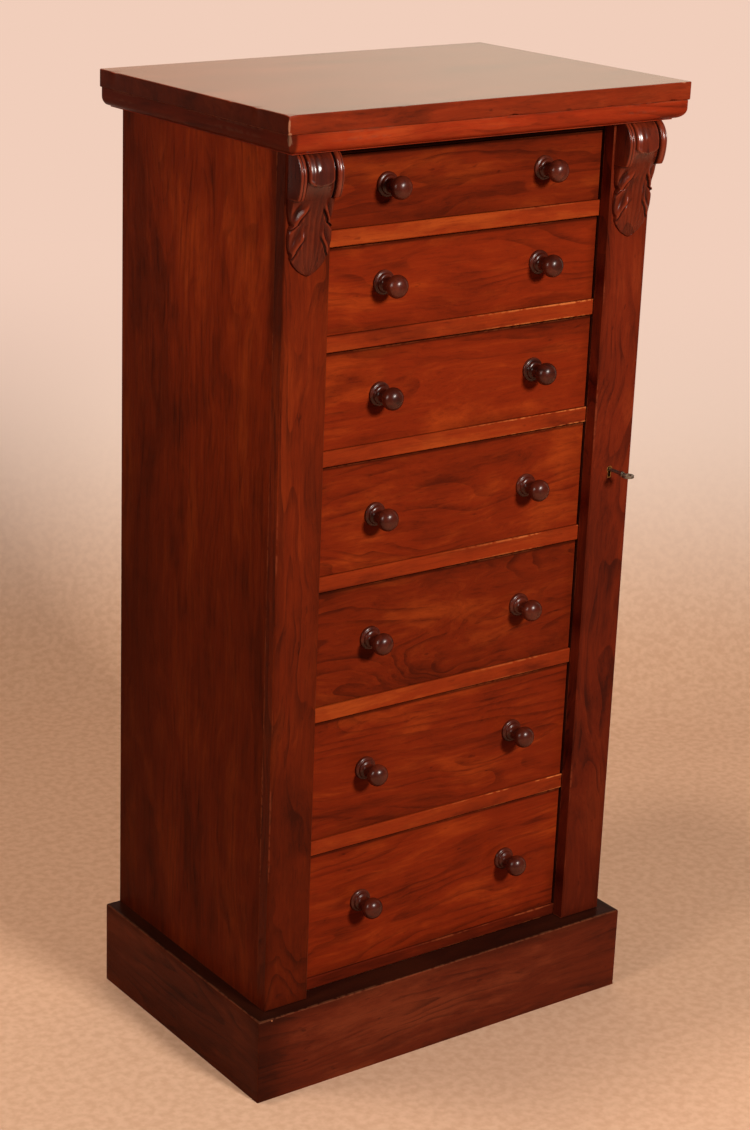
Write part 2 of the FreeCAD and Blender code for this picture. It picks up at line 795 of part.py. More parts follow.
def turned_ring(x, y, z, radius):
    """Corners of the flats round a knob's axis, which draw a turned round with few faces."""
    corners = []
    for place in range(knob_flats):
        angle = math.tau * place / knob_flats
        corners.append(point(x + radius * math.cos(angle), y, z + radius * math.sin(angle)))
    return corners


def make_knob(x, z):
    """A tenon that goes through the drawer front, then a flange, a hollowed neck and a domed head."""
    flange = knob_flange_diameter / 2
    tenon = knob_tenon_diameter / 2
    rings = [turned_ring(x, drawer_front_back_y, z, tenon), turned_ring(x, drawer_face_y, z, tenon)]
    for radius_share, reach_share in zip(knob_radius_shares, knob_reach_shares):
        y = drawer_face_y - knob_projection * reach_share
        rings.append(turned_ring(x, y, z, flange * radius_share))
    faces = [Part.Face(Part.makePolygon(end + [end[0]])) for end in (rings[0], rings[-1])]
    for ring, following in zip(rings, rings[1:]):
        for place in range(knob_flats):
            onward = (place + 1) % knob_flats
            corners = [ring[place], ring[onward], following[onward], following[place], ring[place]]
            faces.append(Part.Face(Part.makePolygon(corners)))
    knob = Part.makeSolid(Part.makeShell(faces))
    if knob.Volume < 0:
        knob.reverse()
    return knob


def knob_hole(x, z):
    """What is bored out of a drawer front for one knob's tenon."""
    radius = knob_tenon_diameter / 2 + knob_hole_clearance
    corners = turned_ring(x, drawer_face_y - spill, z, radius)
    return prism(corners, point(0, drawer_front_thickness + spill + spill, 0))


def make_drawer(number):
    """Front, two sides, back, bottom panel and a pair of knobs."""
    floor = opening_floor[number] + drawer_ride
    front_top = opening_ceiling[number] - drawer_top_clearance
    side_top = front_top - drawer_side_step
    back_top = side_top - drawer_back_step
    panel_low = floor + drawer_panel_height
    panel_high = panel_low + drawer_panel_thickness
    side_inner = drawer_half - drawer_side_thickness
    slack = drawer_groove_clearance

    front = block((-drawer_half, drawer_half), (drawer_face_y, drawer_front_back_y), (floor, front_top))
    front = eased_front(front, arris_width)
    back_y = (drawer_end_y - drawer_side_thickness, drawer_end_y)
    side = block((side_inner, drawer_half), (drawer_front_back_y, back_y[0]), (floor, side_top))
    back = block((-drawer_half, drawer_half), back_y, (panel_high + slack, back_top))
    tail_x = (side_inner, drawer_half)
    socket_x = (side_inner - dovetail_clearance, drawer_half + spill)
    lap_tip_y = drawer_front_back_y - dovetail_lap
    for z_middle in dovetail_middles((panel_high, back_top)):
        side = side.fuse(dovetail(tail_x, drawer_front_back_y, lap_tip_y, z_middle, 0))
        socket = dovetail(socket_x, drawer_front_back_y, lap_tip_y, z_middle, dovetail_clearance)
        front = front.cut(socket).cut(other_side(socket))
        side = side.fuse(dovetail(tail_x, back_y[0], back_y[1], z_middle, 0))
        socket = dovetail(socket_x, back_y[0], back_y[1] + spill, z_middle, dovetail_clearance)
        back = back.cut(socket).cut(other_side(socket))
    side = side.removeSplitter()

    groove_z = (panel_low - slack, panel_high + slack)
    groove_x = (side_inner - spill, side_inner + drawer_groove_depth + slack)
    side = side.cut(block(groove_x, (drawer_front_back_y - spill, drawer_end_y + spill), groove_z))
    front_groove_y = (drawer_front_back_y - drawer_groove_depth - slack, drawer_front_back_y + spill)
    front = front.cut(block((-side_inner, side_inner), front_groove_y, groove_z))

    panel_half = side_inner + drawer_groove_depth
    panel_z = (panel_low, panel_high)
    panel = block((-panel_half, panel_half), (drawer_front_back_y + slack, drawer_end_y), panel_z)
    tongue_half = side_inner - slack
    tongue_y = (drawer_front_back_y - drawer_groove_depth, drawer_front_back_y + slack)
    panel = panel.fuse(block((-tongue_half, tongue_half), tongue_y, panel_z)).removeSplitter()

    knob_z = opening_floor[number] + drawer_opening_heights[number - 1] * knob_level_shares[number - 1]
    knobs = []
    for knob_x in (-knob_from_middle, knob_from_middle):
        knobs.append(make_knob(knob_x, knob_z))
        front = front.cut(knob_hole(knob_x, knob_z))

    name = "drawer_" + str(number)
    save(name + "_front", [front])
    save(name + "_box", [side, other_side(side), back])
    save(name + "_bottom", [panel])
    save(name + "_knobs", knobs)


def main():
    """Makes every node of the chest."""
    os.makedirs("parts", exist_ok=True)
    save("top_board", make_top_board())
    save("top_moulding", make_top_moulding())
    save("frieze_rail", make_frieze())
    save("top_rails", make_top_rails())
    side = make_side()
    save("side_left", [other_side(side)])
    for z_middle in hinge_middles():
        side = side.cut(leaf_recess(z_middle))
    save("side_right", [side])
    save("carcass_bottom", [make_carcass_bottom()])
    save("back_boards", make_back_boards())
    post = make_post()
    save("post_left", [other_side(post)])
    save("post_right", [cut_for_strike(post)])
    for number in range(1, drawer_count):
        save("rail_" + str(number), [rail_between_posts(rail_span(number), rail_depth)])
    save("drawer_runners", make_runners())
    save("drawer_guides", make_guides())

    front, side_board = make_plinth()
    save("plinth_front", [front])
    save("plinth_sides", [side_board, other_side(side_board)])
    save("plinth_inner", make_plinth_inner())

    fixed_stile = stile_board((stile_face_y, carcass_front_y), (plinth_height, moulding_bottom_z))
    save("stile_left", [other_side(fixed_stile)])
    save("corbel_left", [other_side(make_corbel(moulding_bottom_z))])

    save("locking_stile", [make_locking_stile()])
    save("corbel_right", [make_corbel(flap_top_z)])
    save("key_lining", [make_key_lining()])
    save("hinge_leaves_fixed", [make_fixed_leaf(z_middle) for z_middle in hinge_middles()])
    save("hinge_leaves_moving", [make_moving_leaf(z_middle) for z_middle in hinge_middles()])
    save("lock_case", [make_lock_case()])
    save("lock_bolt", [make_lock_bolt()])
    save("strike_plate", [make_strike_plate()])
    save("key", [make_key()])

    for number in range(1, drawer_count + 1):
        make_drawer(number)


main()
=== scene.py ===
import math

import bmesh
import bpy
import numpy as np
from mathutils import Matrix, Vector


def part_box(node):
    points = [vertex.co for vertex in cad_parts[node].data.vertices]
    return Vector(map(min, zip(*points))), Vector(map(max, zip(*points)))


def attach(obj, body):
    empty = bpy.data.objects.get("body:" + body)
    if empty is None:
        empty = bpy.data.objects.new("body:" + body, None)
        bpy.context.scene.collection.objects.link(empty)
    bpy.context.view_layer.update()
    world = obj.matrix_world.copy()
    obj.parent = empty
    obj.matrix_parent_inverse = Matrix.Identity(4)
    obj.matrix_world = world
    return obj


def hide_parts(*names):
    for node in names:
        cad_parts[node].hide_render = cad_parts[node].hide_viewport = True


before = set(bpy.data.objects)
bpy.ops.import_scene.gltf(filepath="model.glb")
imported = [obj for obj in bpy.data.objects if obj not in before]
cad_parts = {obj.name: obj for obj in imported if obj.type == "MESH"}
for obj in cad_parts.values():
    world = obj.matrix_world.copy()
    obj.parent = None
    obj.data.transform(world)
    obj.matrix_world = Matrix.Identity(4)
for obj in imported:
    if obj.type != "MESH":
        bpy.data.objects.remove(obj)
scene = bpy.context.scene
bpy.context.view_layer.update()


# Carcass sides
# Two wide boards of red-brown mahogany with the grain upright, French polished and waxed since. They
# run down to the floor inside the plinth. Painted shade darkens them towards the bottom, towards the
# back and at the top of the front edge.
def colour(red, green, blue):
    """An 8-bit screen colour as the linear values that a shader takes."""
    shares = np.array((red, green, blue)) / 255.0
    linear = np.where(shares <= 0.04045, shares / 12.92, ((shares + 0.055) / 1.055) ** 2.4)
    return (*linear.tolist(), 1.0)


def add(tree, kind, inputs=None, **settings):
    """Puts a node in a tree, sets its options, and fills its inputs with values or links."""
    node = tree.nodes.new("ShaderNode" + kind)
    for name, value in settings.items():
        setattr(node, name, value)
    for name, value in (inputs or {}).items():
        if isinstance(value, bpy.types.NodeSocket):
            tree.links.new(value, node.inputs[name])
        else:
            node.inputs[name].default_value = value
    return node


def maths(tree, operation, *values):
    """One sum on up to three numbers, as a node."""
    return add(tree, "Math", dict(enumerate(values)), operation=operation).outputs[0]


def times(tree, first, second):
    """The product of two numbers, as a node."""
    return maths(tree, "MULTIPLY", first, second)


def vectors(tree, operation, first, second):
    """One sum on two vectors, as a node."""
    return add(tree, "VectorMath", {0: first, 1: second}, operation=operation).outputs[0]


def between(tree, value, start, end):
    """0 up to start and 1 from end on, with a soft step between; start may be the larger one."""
    inputs = {"Value": value, "From Min": start, "From Max": end}
    return add(tree, "MapRange", inputs, interpolation_type="SMOOTHSTEP").outputs["Result"]


def blend(tree, share, first, second):
    """Goes from the first colour to the second as share goes from 0 to 1."""
    return add(tree, "Mix", {0: share, 6: first, 7: second}, data_type="RGBA").outputs[2]


def speckle(tree, place, stretch, detail, roughness=0.5):
    """Noise on a place times stretch, so that its spots are long where stretch is low."""
    scaled = vectors(tree, "MULTIPLY", place, stretch)
    inputs = {"Vector": scaled, "Scale": 1.0, "Detail": detail, "Roughness": roughness}
    return add(tree, "TexNoise", inputs).outputs["Fac"]


def new_material(title):
    """A material, with its node tree and its shader."""
    material = bpy.data.materials.new(title)
    material.use_nodes = True
    tree = material.node_tree
    return material, tree, tree.nodes["Principled BSDF"]


def new_group(name, inputs, outputs):
    """An empty shader group. inputs and outputs give each socket's name and kind."""
    tree = bpy.data.node_groups.new(name, "ShaderNodeTree")
    for direction, sockets in (("INPUT", inputs), ("OUTPUT", outputs)):
        for title, kind in sockets.items():
            tree.interface.new_socket(title, in_out=direction, socket_type="NodeSocket" + kind)
    return tree, tree.nodes.new("NodeGroupInput").outputs, tree.nodes.new("NodeGroupOutput").inputs


def place_group(tree, group, inputs):
    """Uses a group once, with its own values."""
    return add(tree, "Group", inputs, node_tree=group).outputs


def make_wood_figure():
    """Colour and polish of a mahogany board, on a place in metres whose X runs along the grain.

    Slow noise bends the grain. Growth rings are the fraction of a bent, long noise times a count,
    dark just before each jump, and show only in parts of a board. Streaks, hairlines and pores are
    ever finer noises, stretched along the grain. Clouds are a slow noise, dark on one side of its
    middle and light on the other. Ripple is a faint noise that is longer across the grain, and
    flecks are the highest tops of a small noise.
    """
    inputs = {"Place": "Vector", "Seed": "Float", "Light": "Color", "Base": "Color", "Dark": "Color"}
    inputs |= dict.fromkeys(("Streaks", "Rings", "Clouds", "Waviness"), "Float")
    outputs = {"Color": "Color", "Roughness": "Float", "Height": "Float"}
    tree, given, result = new_group("wood_figure", inputs, outputs)
    steps = {"X": 3.17, "Y": 1.73, "Z": 0.91}
    steps = {axis: times(tree, given["Seed"], step) for axis, step in steps.items()}
    start = vectors(tree, "ADD", given["Place"], add(tree, "CombineXYZ", steps).outputs[0])
    slow = maths(tree, "SUBTRACT", speckle(tree, start, (2.0, 5.0, 5.0), 1.0), 0.5)
    quick = maths(tree, "SUBTRACT", speckle(tree, start, (9.0, 20.0, 20.0), 2.0), 0.5)
    bend = times(tree, maths(tree, "MULTIPLY_ADD", quick, 0.22, slow), given["Waviness"])
    bent = vectors(tree, "ADD", start, add(tree, "CombineXYZ", {"Y": bend, "Z": bend}).outputs[0])

    ring_count = 24.0
    rings = times(tree, speckle(tree, bent, (0.9, 7.5, 7.5), 2.0), ring_count)
    rings = maths(tree, "FRACT", rings)
    rising = between(tree, rings, 0.45, 0.95)
    ring_dark = times(tree, rising, between(tree, rings, 1.0, 0.96))
    figured = between(tree, speckle(tree, start, (4.0, 9.0, 9.0), 1.0), 0.36, 0.54)
    broken = between(tree, speckle(tree, bent, (14.0, 60.0, 60.0), 3.0), 0.30, 0.60)
    ring_dark = times(tree, ring_dark, times(tree, broken, figured))
    streaks = speckle(tree, bent, (9.0, 170.0, 170.0), 4.0, 0.6)
    hairs = speckle(tree, bent, (26.0, 480.0, 480.0), 3.0, 0.6)
    pores = between(tree, speckle(tree, bent, (70.0, 1500.0, 1500.0), 1.0), 0.60, 0.70)
    clouds = speckle(tree, bent, (5.0, 17.0, 17.0), 5.0, 0.62)
    ripple = speckle(tree, start, (34.0, 9.0, 9.0), 2.0)
    flecks = between(tree, speckle(tree, start, (45.0, 120.0, 120.0), 2.0), 0.70, 0.78)

    dark = times(tree, between(tree, streaks, 0.50, 0.74), given["Streaks"])
    dark = maths(tree, "MULTIPLY_ADD", ring_dark, given["Rings"], dark)
    cloud_dark = times(tree, between(tree, clouds, 0.50, 0.67), given["Clouds"])
    dark = maths(tree, "ADD", dark, cloud_dark)
    dark = maths(tree, "MULTIPLY_ADD", between(tree, hairs, 0.50, 0.72), 0.26, dark)
    dark = maths(tree, "MULTIPLY_ADD", pores, 0.25, dark)
    dark = maths(tree, "MULTIPLY_ADD", flecks, 0.5, dark)
    dark = maths(tree, "MULTIPLY_ADD", between(tree, ripple, 0.5, 0.75), 0.08, dark)
    light = times(tree, between(tree, streaks, 0.50, 0.28), given["Streaks"])
    cloud_light = times(tree, between(tree, clouds, 0.49, 0.33), given["Clouds"])
    light = maths(tree, "MULTIPLY_ADD", cloud_light, 1.3, light)
    light = maths(tree, "MINIMUM", light, 1.0)
    dark = maths(tree, "MINIMUM", dark, 1.0)
    wood = blend(tree, light, given["Base"], given["Light"])
    wood = blend(tree, dark, wood, given["Dark"])
    tree.links.new(wood, result["Color"])
    polish = maths(tree, "MULTIPLY_ADD", hairs, 0.10, 0.24)
    polish = maths(tree, "MULTIPLY_ADD", clouds, 0.10, polish)
    tree.links.new(polish, result["Roughness"])
    relief = maths(tree, "MULTIPLY_ADD", pores, -0.7, times(tree, hairs, 0.35))
    tree.links.new(relief, result["Height"])
    return tree


def make_worn_arris():
    """Where polish is rubbed pale on an arris, and where dirt darkens the wood beside it.

    Edge is the distance to the nearest arris in metres. Pale falls from 1 to 0 over a width that a
    slow noise changes, and a fine noise breaks it up. Grime fades from the arris over 16 mm.
    """
    inputs = {"Place": "Vector", "Edge": "Float", "Width": "Float", "Amount": "Float"}
    tree, given, result = new_group("worn_arris", inputs, {"Pale": "Float", "Grime": "Float"})
    slow = speckle(tree, given["Place"], (11.0, 11.0, 11.0), 2.0)
    fine = speckle(tree, given["Place"], (160.0, 160.0, 160.0), 3.0)
    reach = times(tree, given["Width"], between(tree, slow, 0.38, 0.68))
    reach = maths(tree, "MULTIPLY_ADD", reach, 2.0, 0.0002)
    share = maths(tree, "DIVIDE", given["Edge"], reach)
    pale = times(tree, between(tree, share, 1.0, 0.35), between(tree, fine, 0.34, 0.56))
    tree.links.new(times(tree, pale, given["Amount"]), result["Pale"])
    patches = speckle(tree, given["Place"], (6.0, 6.0, 6.0), 3.0)
    dirt_width = 0.016
    near = between(tree, given["Edge"], dirt_width, 0.0)
    tree.links.new(times(tree, near, between(tree, patches, 0.35, 0.65)), result["Grime"])
    return tree


def make_box_edge():
    """The distance from a place on a box to its nearest arris.

    On a face one of the three distances to the box's planes is nothing, so the arris is as far away
    as the middle one of the three.
    """
    inputs = {"Place": "Vector", "Low": "Vector", "High": "Vector"}
    tree, given, result = new_group("box_edge", inputs, {"Edge": "Float"})
    up = vectors(tree, "SUBTRACT", given["Place"], given["Low"])
    down = vectors(tree, "SUBTRACT", given["High"], given["Place"])
    least = vectors(tree, "MAXIMUM", vectors(tree, "MINIMUM", up, down), (0.0, 0.0, 0.0))
    parts = add(tree, "SeparateXYZ", {0: least}).outputs
    smaller = maths(tree, "MINIMUM", parts[0], parts[1])
    larger = maths(tree, "MAXIMUM", parts[0], parts[1])
    edge = maths(tree, "MAXIMUM", smaller, maths(tree, "MINIMUM", larger, parts[2]))
    tree.links.new(edge, result["Edge"])
    return tree


wood_figure = make_wood_figure()
worn_arris = make_worn_arris()
box_edge = make_box_edge()


def rubbed_spots(tree, place, spots):
    """Where bare knocks show: 1 inside each spot and 0 outside, with a torn rim.

    A spot is a place, how much each axis counts, and a radius in metres.
    """
    torn = speckle(tree, place, (210.0, 210.0, 130.0), 3.0)
    total = 0.0
    for middle, stretch, radius in spots:
        offset = vectors(tree, "MULTIPLY", vectors(tree, "SUBTRACT", place, middle), stretch)
        away = add(tree, "VectorMath", {0: offset}, operation="LENGTH").outputs["Value"]
        share = maths(tree, "DIVIDE", away, times(tree, torn, 2.0 * radius))
        total = maths(tree, "MAXIMUM", between(tree, share, 1.0, 0.75), total)
    return total


def grain_along(tree, parts, axis):
    """The place with its axes in another order, so that its X runs along the grain."""
    order = {"X": "XZY", "Y": "YZX", "Z": "ZXY"}[axis]
    return add(tree, "CombineXYZ", dict(enumerate(parts[name] for name in order))).outputs[0]


def mahogany(
    title,
    along,
    seed,
    base,
    light,
    dark,
    box=None,
    streaks=0.3,
    rings=0.5,
    clouds=0.5,
    waviness=0.08,
    wear=0.5,
    wear_width=0.0010,
    wear_span=None,
    grime=0.5,
    worn=(190, 100, 55),
    spots=(),
    fades=(),
    end_grain=0.75,
    ledge=0.0,
    coat=0.01,
    coat_up=0.0,
    coat_roughness=0.2,
    gloss=0.02,
    polish=0.0,
    cross_after=None,
):
    """Polished mahogany. along names the axis of the grain, or is "made" for a piece with its own.

    A box gives the arrises of a straight board, and a made piece keeps them in its attribute edge.
    A fade is how strong darkening gets and one or two spans. A span is an axis, where it starts and
    where it is full, and wear_span is one too. ledge darkens what faces up, and coat_up adds polish
    to it. cross_after is the Y from which on the grain runs along X instead, as in a drawer's back.
    """
    material, tree, shader = new_material(title)
    coordinates = tree.nodes.new("ShaderNodeTexCoord").outputs
    place = coordinates["Object"]
    parts = add(tree, "SeparateXYZ", {0: place}).outputs
    facing = add(tree, "SeparateXYZ", {0: coordinates["Normal"]}).outputs
    if along == "made":
        grain = add(tree, "Attribute", attribute_name="grain").outputs["Vector"]
        edge = add(tree, "Attribute", attribute_name="edge").outputs["Fac"]
    else:
        grain = grain_along(tree, parts, along)
        toward = maths(tree, "ABSOLUTE", facing[along])
        if cross_after is not None:
            crossing = between(tree, parts["Y"], cross_after - 0.0003, cross_after - 0.0001)
            grains = {0: crossing, 4: grain, 5: grain_along(tree, parts, "X")}
            grain = add(tree, "Mix", grains, data_type="VECTOR").outputs[1]
            ends = {0: crossing, 2: toward, 3: maths(tree, "ABSOLUTE", facing["X"])}
            toward = add(tree, "Mix", ends, data_type="FLOAT").outputs[0]
        low, high = box
        edge = place_group(tree, box_edge, {"Place": place, "Low": low, "High": high})["Edge"]
    wood = place_group(tree, wood_figure, {
        "Place": grain, "Seed": seed, "Light": colour(*light), "Base": colour(*base),
        "Dark": colour(*dark), "Streaks": streaks, "Rings": rings, "Clouds": clouds,
        "Waviness": waviness,
    })
    shade = wood["Color"]
    deep = colour(*(0.5 * np.array(dark)))
    if along != "made":
        ends = between(tree, toward, 0.75, 0.95)
        shade = blend(tree, times(tree, ends, end_grain), shade, deep)
    if wear_span:
        axis, start, end = wear_span
        wear = times(tree, between(tree, parts[axis], start, end), wear)
    rubbing = {"Place": place, "Edge": edge, "Width": wear_width, "Amount": wear}
    arris = place_group(tree, worn_arris, rubbing)
    shade = blend(tree, times(tree, arris["Grime"], grime), shade, deep)
    for strength, *spans in fades:
        for axis, start, end in spans:
            strength = times(tree, between(tree, parts[axis], start, end), strength)
        shade = blend(tree, strength, shade, deep)
    if ledge:
        upward = between(tree, facing["Z"], 0.8, 0.95)
        shade = blend(tree, times(tree, upward, ledge), shade, deep)
    pale = arris["Pale"]
    if spots:
        pale = maths(tree, "MAXIMUM", pale, rubbed_spots(tree, place, spots))
    shade = blend(tree, pale, shade, colour(*worn))
    tree.links.new(shade, shader.inputs["Base Color"])
    roughness = maths(tree, "MULTIPLY_ADD", pale, 0.2, wood["Roughness"])
    roughness = maths(tree, "ADD", roughness, polish)
    tree.links.new(roughness, shader.inputs["Roughness"])
    shader.inputs["Specular IOR Level"].default_value = gloss
    shader.inputs["Coat Weight"].default_value = coat
    if coat_up:
        upward = between(tree, facing["Z"], 0.8, 0.95)
        lacquer = maths(tree, "MULTIPLY_ADD", upward, coat_up, coat)
        tree.links.new(lacquer, shader.inputs["Coat Weight"])
        shader.inputs["Coat IOR"].default_value = 2.25
    shader.inputs["Coat Roughness"].default_value = coat_roughness
    bump = add(tree, "Bump", {"Height": wood["Height"], "Strength": 0.25, "Distance": 0.0004})
    tree.links.new(bump.outputs["Normal"], shader.inputs["Normal"])
    return material


def finish_node(name, material):
    """Gives a node of the frame one material in all its slots."""
    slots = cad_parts[name].data.materials
    for place in range(len(slots)):
        slots[place] = material
    if not slots:
        slots.append(material)


def polished_board(name, along, seed, *shades, **look):
    """Gives a straight board of the case its own polished mahogany."""
    finish_node(name, mahogany(name + "_wood", along, seed, *shades, box=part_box(name), **look))


side_shades = ((128, 41, 15), (158, 60, 21), (76, 25, 11))
for side_name, side_seed in (("side_left", 2.0), ("side_right", 5.3)):
    side_front_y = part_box(side_name)[0][1]
    # The fades are painted shade: darker low down, at the back and at the top of the front edge.
    polished_board(
        side_name, "Z", side_seed, *side_shades, streaks=0.4, rings=0.3, wear=0.2, grime=0.2,
        gloss=0.01, coat=0.0,
        fades=(
            (0.5, ("Z", 1.05, 0.5)),
            (0.4, ("Y", 0.02, 0.18)),
            (0.5, ("Y", side_front_y + 0.016, side_front_y + 0.004), ("Z", 0.86, 0.99)),
        ),
    )


# Back boards, posts, runners and other wood inside
# Pale-brown softwood and mahogany off-cuts, sawn and planed but never polished, dusty with age. The
# two posts beside the drawers are painted dark as the shade in the gaps beside the drawers, and the
# joints between the three back boards are darker.
pale_shades = ((142, 100, 66), (168, 126, 88), (92, 60, 38))
far_box = ((-1.0, -1.0, -1.0), (1.0, 1.0, 2.0))


def plain_board(name, along, seed, shades=pale_shades, **others):
    """Gives a node unpolished wood: the same figure in duller shades, with no gloss.

    The box that it takes lies far out, so that no arris is near and nothing is worn.
    """
    finish_node(name, mahogany(
        name + "_wood", along, seed, *shades, box=far_box, streaks=0.5, rings=0.4, clouds=0.4,
        waviness=0.03, wear=0.0, grime=0.0, end_grain=0.4, coat=0.0, polish=0.4, **others,
    ))


back_low, back_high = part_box("back_boards")
seam_x = (back_high[0] - back_low[0]) / 6
seams = tuple(
    (0.9, ("X", seam - 0.0016, seam - 0.0004), ("X", seam + 0.0016, seam + 0.0004))
    for seam in (-seam_x, seam_x)
)
plain_board("back_boards", "Z", 1.0, fades=seams)
# The posts' dark shades are painted shade for the gaps beside the drawers.
post_shades = ((58, 24, 15), (74, 32, 20), (38, 16, 11))
plain_board("post_left", "Z", 3.0, post_shades)
plain_board("post_right", "Z", 4.0, post_shades)
plain_board("drawer_runners", "Y", 6.0)
plain_board("drawer_guides", "Y", 7.0)
plain_board("plinth_inner", "X", 8.0)


# Bottom board, rails and head
# Cross pieces of lighter, more orange mahogany, tenoned into the posts. Drawers drawn over them for a
# hundred years have rubbed their front arrises pale, mostly towards the right, and the paleness also
# holds a painted highlight where the arrises catch the light. The bottom board is darker, and the
# head is painted nearly black as the shade under the moulding.
rail_shades = ((140, 47, 17), (162, 66, 24), (98, 31, 13))
# The pale arrises are part wear and part painted highlight.
rail_wear_and_highlight = (0.2, 0.8, 0.8, 0.6, 0.35, 0.8)
for number, amount in enumerate(rail_wear_and_highlight, 1):
    polished_board(
        "rail_" + str(number), "X", 11.0 + 2.7 * number, *rail_shades, clouds=0.7, rings=0.2,
        waviness=0.04, wear=amount, wear_width=0.0012, wear_span=("X", -0.05, 0.17),
        worn=(215, 120, 62), grime=0.0,
    )
# Its pale top arris is part wear and part painted highlight.
polished_board(
    "carcass_bottom", "X", 31.0, (106, 31, 13), (134, 50, 21), (64, 19, 9), wear=0.55,
    wear_width=0.0011, wear_span=("X", -0.1, 0.1), worn=(160, 78, 42), grime=0.3,
)
# The head's near-black shades are painted shade under the moulding.
polished_board("top_rails", "X", 33.0, (62, 22, 11), (80, 30, 14), (40, 14, 8), wear=0.0)
polished_board("frieze_rail", "X", 35.0, (48, 17, 9), (62, 24, 12), (32, 11, 7), wear=0.0)


# Stiles
# The fixed stile on the left and the hinged one that locks the drawers: straight-grained mahogany,
# darker than the drawers and darkest at the foot, its front arrises rubbed to a thin light line. A
# thin strip along the left stile's outer arris near the top is painted shade.
left_shades = ((106, 33, 12), (132, 47, 17), (64, 21, 10))
right_shades = ((110, 35, 16), (136, 50, 23), (66, 22, 13))
for stile_name, stile_seed, stile_shades in (
    ("stile_left", 41.0, left_shades),
    ("locking_stile", 44.0, right_shades),
):
    # The second fade, a thin strip on the left stile's outer arris near the top, is painted shade.
    polished_board(
        stile_name, "Z", stile_seed, *stile_shades, rings=0.6, clouds=0.45, waviness=0.12,
        wear=0.35, wear_width=0.0011, worn=(160, 76, 46), grime=0.3,
        fades=((0.35, ("Z", 0.8, 0.1)), (0.5, ("X", -0.2585, -0.2595), ("Z", 0.86, 0.99))),
    )


# Plinth
# A front and two sides of mahogany, mitred at the front corners and nailed over the carcass. The top
# arris is a little rubbed and has one knock on the left, its ledge is darker where it faces up, and
# the front is darker near the left corner.
def pairs(first, second):
    """Plan points or steps, from their two values. Either of them may be one number for all."""
    return np.stack(np.broadcast_arrays(first, second), axis=1)


def grid_faces(rows, columns, closed=False):
    """Quads between the points of a grid kept row by row, which may close round on its columns."""
    number = np.arange(rows * columns).reshape(rows, columns)
    if closed:
        number = np.concatenate((number, number[:, :1]), axis=1)
    corners = (number[:-1, :-1], number[:-1, 1:], number[1:, 1:], number[1:, :-1])
    return np.stack(corners, axis=2).reshape(-1, 4)


def swept(path, inward, lean, mitre, section):
    """A section carried along a path on the floor plan, closed by a face at each end.

    path holds plan points of the outer line. A point of the section lies at path + depth * inward
    + min(depth, mitre) * lean, where lean is the plan step that keeps a mitred end on its slant.
    section holds depth, height and distance to the nearest arris. The grain runs along the path,
    and the section's own length runs across it.
    """
    depth, height, edge = np.asarray(section, float).T
    slant = np.minimum(depth, mitre)
    plan = path[:, None, :] + depth[None, :, None] * np.asarray(inward)
    plan = plan + slant[None, :, None] * lean[:, None, :]
    level = np.broadcast_to(height[None, :, None], plan.shape[:2] + (1,))
    points = np.concatenate((plan, level), axis=2)
    run = np.concatenate(([0.0], np.cumsum(np.linalg.norm(np.diff(path, axis=0), axis=1))))
    turn = np.concatenate(([0.0], np.cumsum(np.hypot(np.diff(depth), np.diff(height)))))
    grain = np.zeros_like(points)
    grain[..., 0] = run[:, None]
    grain[..., 1] = turn[None, :]
    edges = np.broadcast_to(edge[None, :], points.shape[:2])
    rows, columns = points.shape[:2]
    faces = grid_faces(rows, columns, closed=True).tolist()
    faces += [list(range(columns))[::-1], list(range((rows - 1) * columns, rows * columns))]
    return points.reshape(-1, 3), faces, grain.reshape(-1, 3), edges.reshape(-1)


def front_strip(path, mitre, section):
    """A strip swept along the front, mitred at both ends."""
    lean = pairs(-path[:, 0] / path[-1, 0], 0.0)
    return swept(path, (0.0, 1.0), lean, mitre, section)


def side_strip(path, mitre, section):
    """A strip swept along the right side, mitred in front and square at the back."""
    y = path[:, 1]
    lean = pairs(0.0, (y[-1] - y) / (y[-1] - y[0]))
    return swept(path, (-1.0, 0.0), lean, mitre, section)


def outward(mesh):
    """Turns every face of a closed mesh to point outwards."""
    shell = bmesh.new()
    shell.from_mesh(mesh)
    bmesh.ops.recalc_face_normals(shell, faces=shell.faces)
    shell.to_mesh(mesh)
    shell.free()


def mirrored(part):
    """The same shell for the left side, cut from another length of the wood."""
    points, faces, grain, edge = part
    return points * (-1.0, 1.0, 1.0), faces, grain + 3.0, edge


def make_piece(name, parts, body, replaced, material, sharp=32.0):
    """One piece from one or more closed shells, each with its points, faces, grain and edge values."""
    points = np.concatenate([part[0] for part in parts])
    grain = np.concatenate([part[2] for part in parts])
    edge = np.concatenate([part[3] for part in parts])
    faces = []
    start = 0
    for part in parts:
        faces += [[corner + start for corner in face] for face in part[1]]
        start += len(part[0])
    mesh = bpy.data.meshes.new(name)
    mesh.from_pydata(points.tolist(), [], faces)
    mesh.attributes.new("grain", "FLOAT_VECTOR", "POINT").data.foreach_set("vector", grain.ravel())
    mesh.attributes.new("edge", "FLOAT", "POINT").data.foreach_set("value", edge.ravel())
    outward(mesh)
    mesh.polygons.foreach_set("use_smooth", np.ones(len(mesh.polygons), bool))
    mesh.set_sharp_from_angle(angle=math.radians(sharp))
    mesh.materials.append(material)
    piece = bpy.data.objects.new(name, mesh)
    scene.collection.objects.link(piece)
    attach(piece, body)
    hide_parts(*replaced)


plinth_half, plinth_back_y, plinth_top_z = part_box("plinth_sides")[1]
plinth_front_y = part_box("plinth_front")[0][1]
plinth_arris = 0.0018
plinth_corner = 0.0012
stile_face_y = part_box("stile_left")[0][1]
carcass_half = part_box("side_right")[1][0]


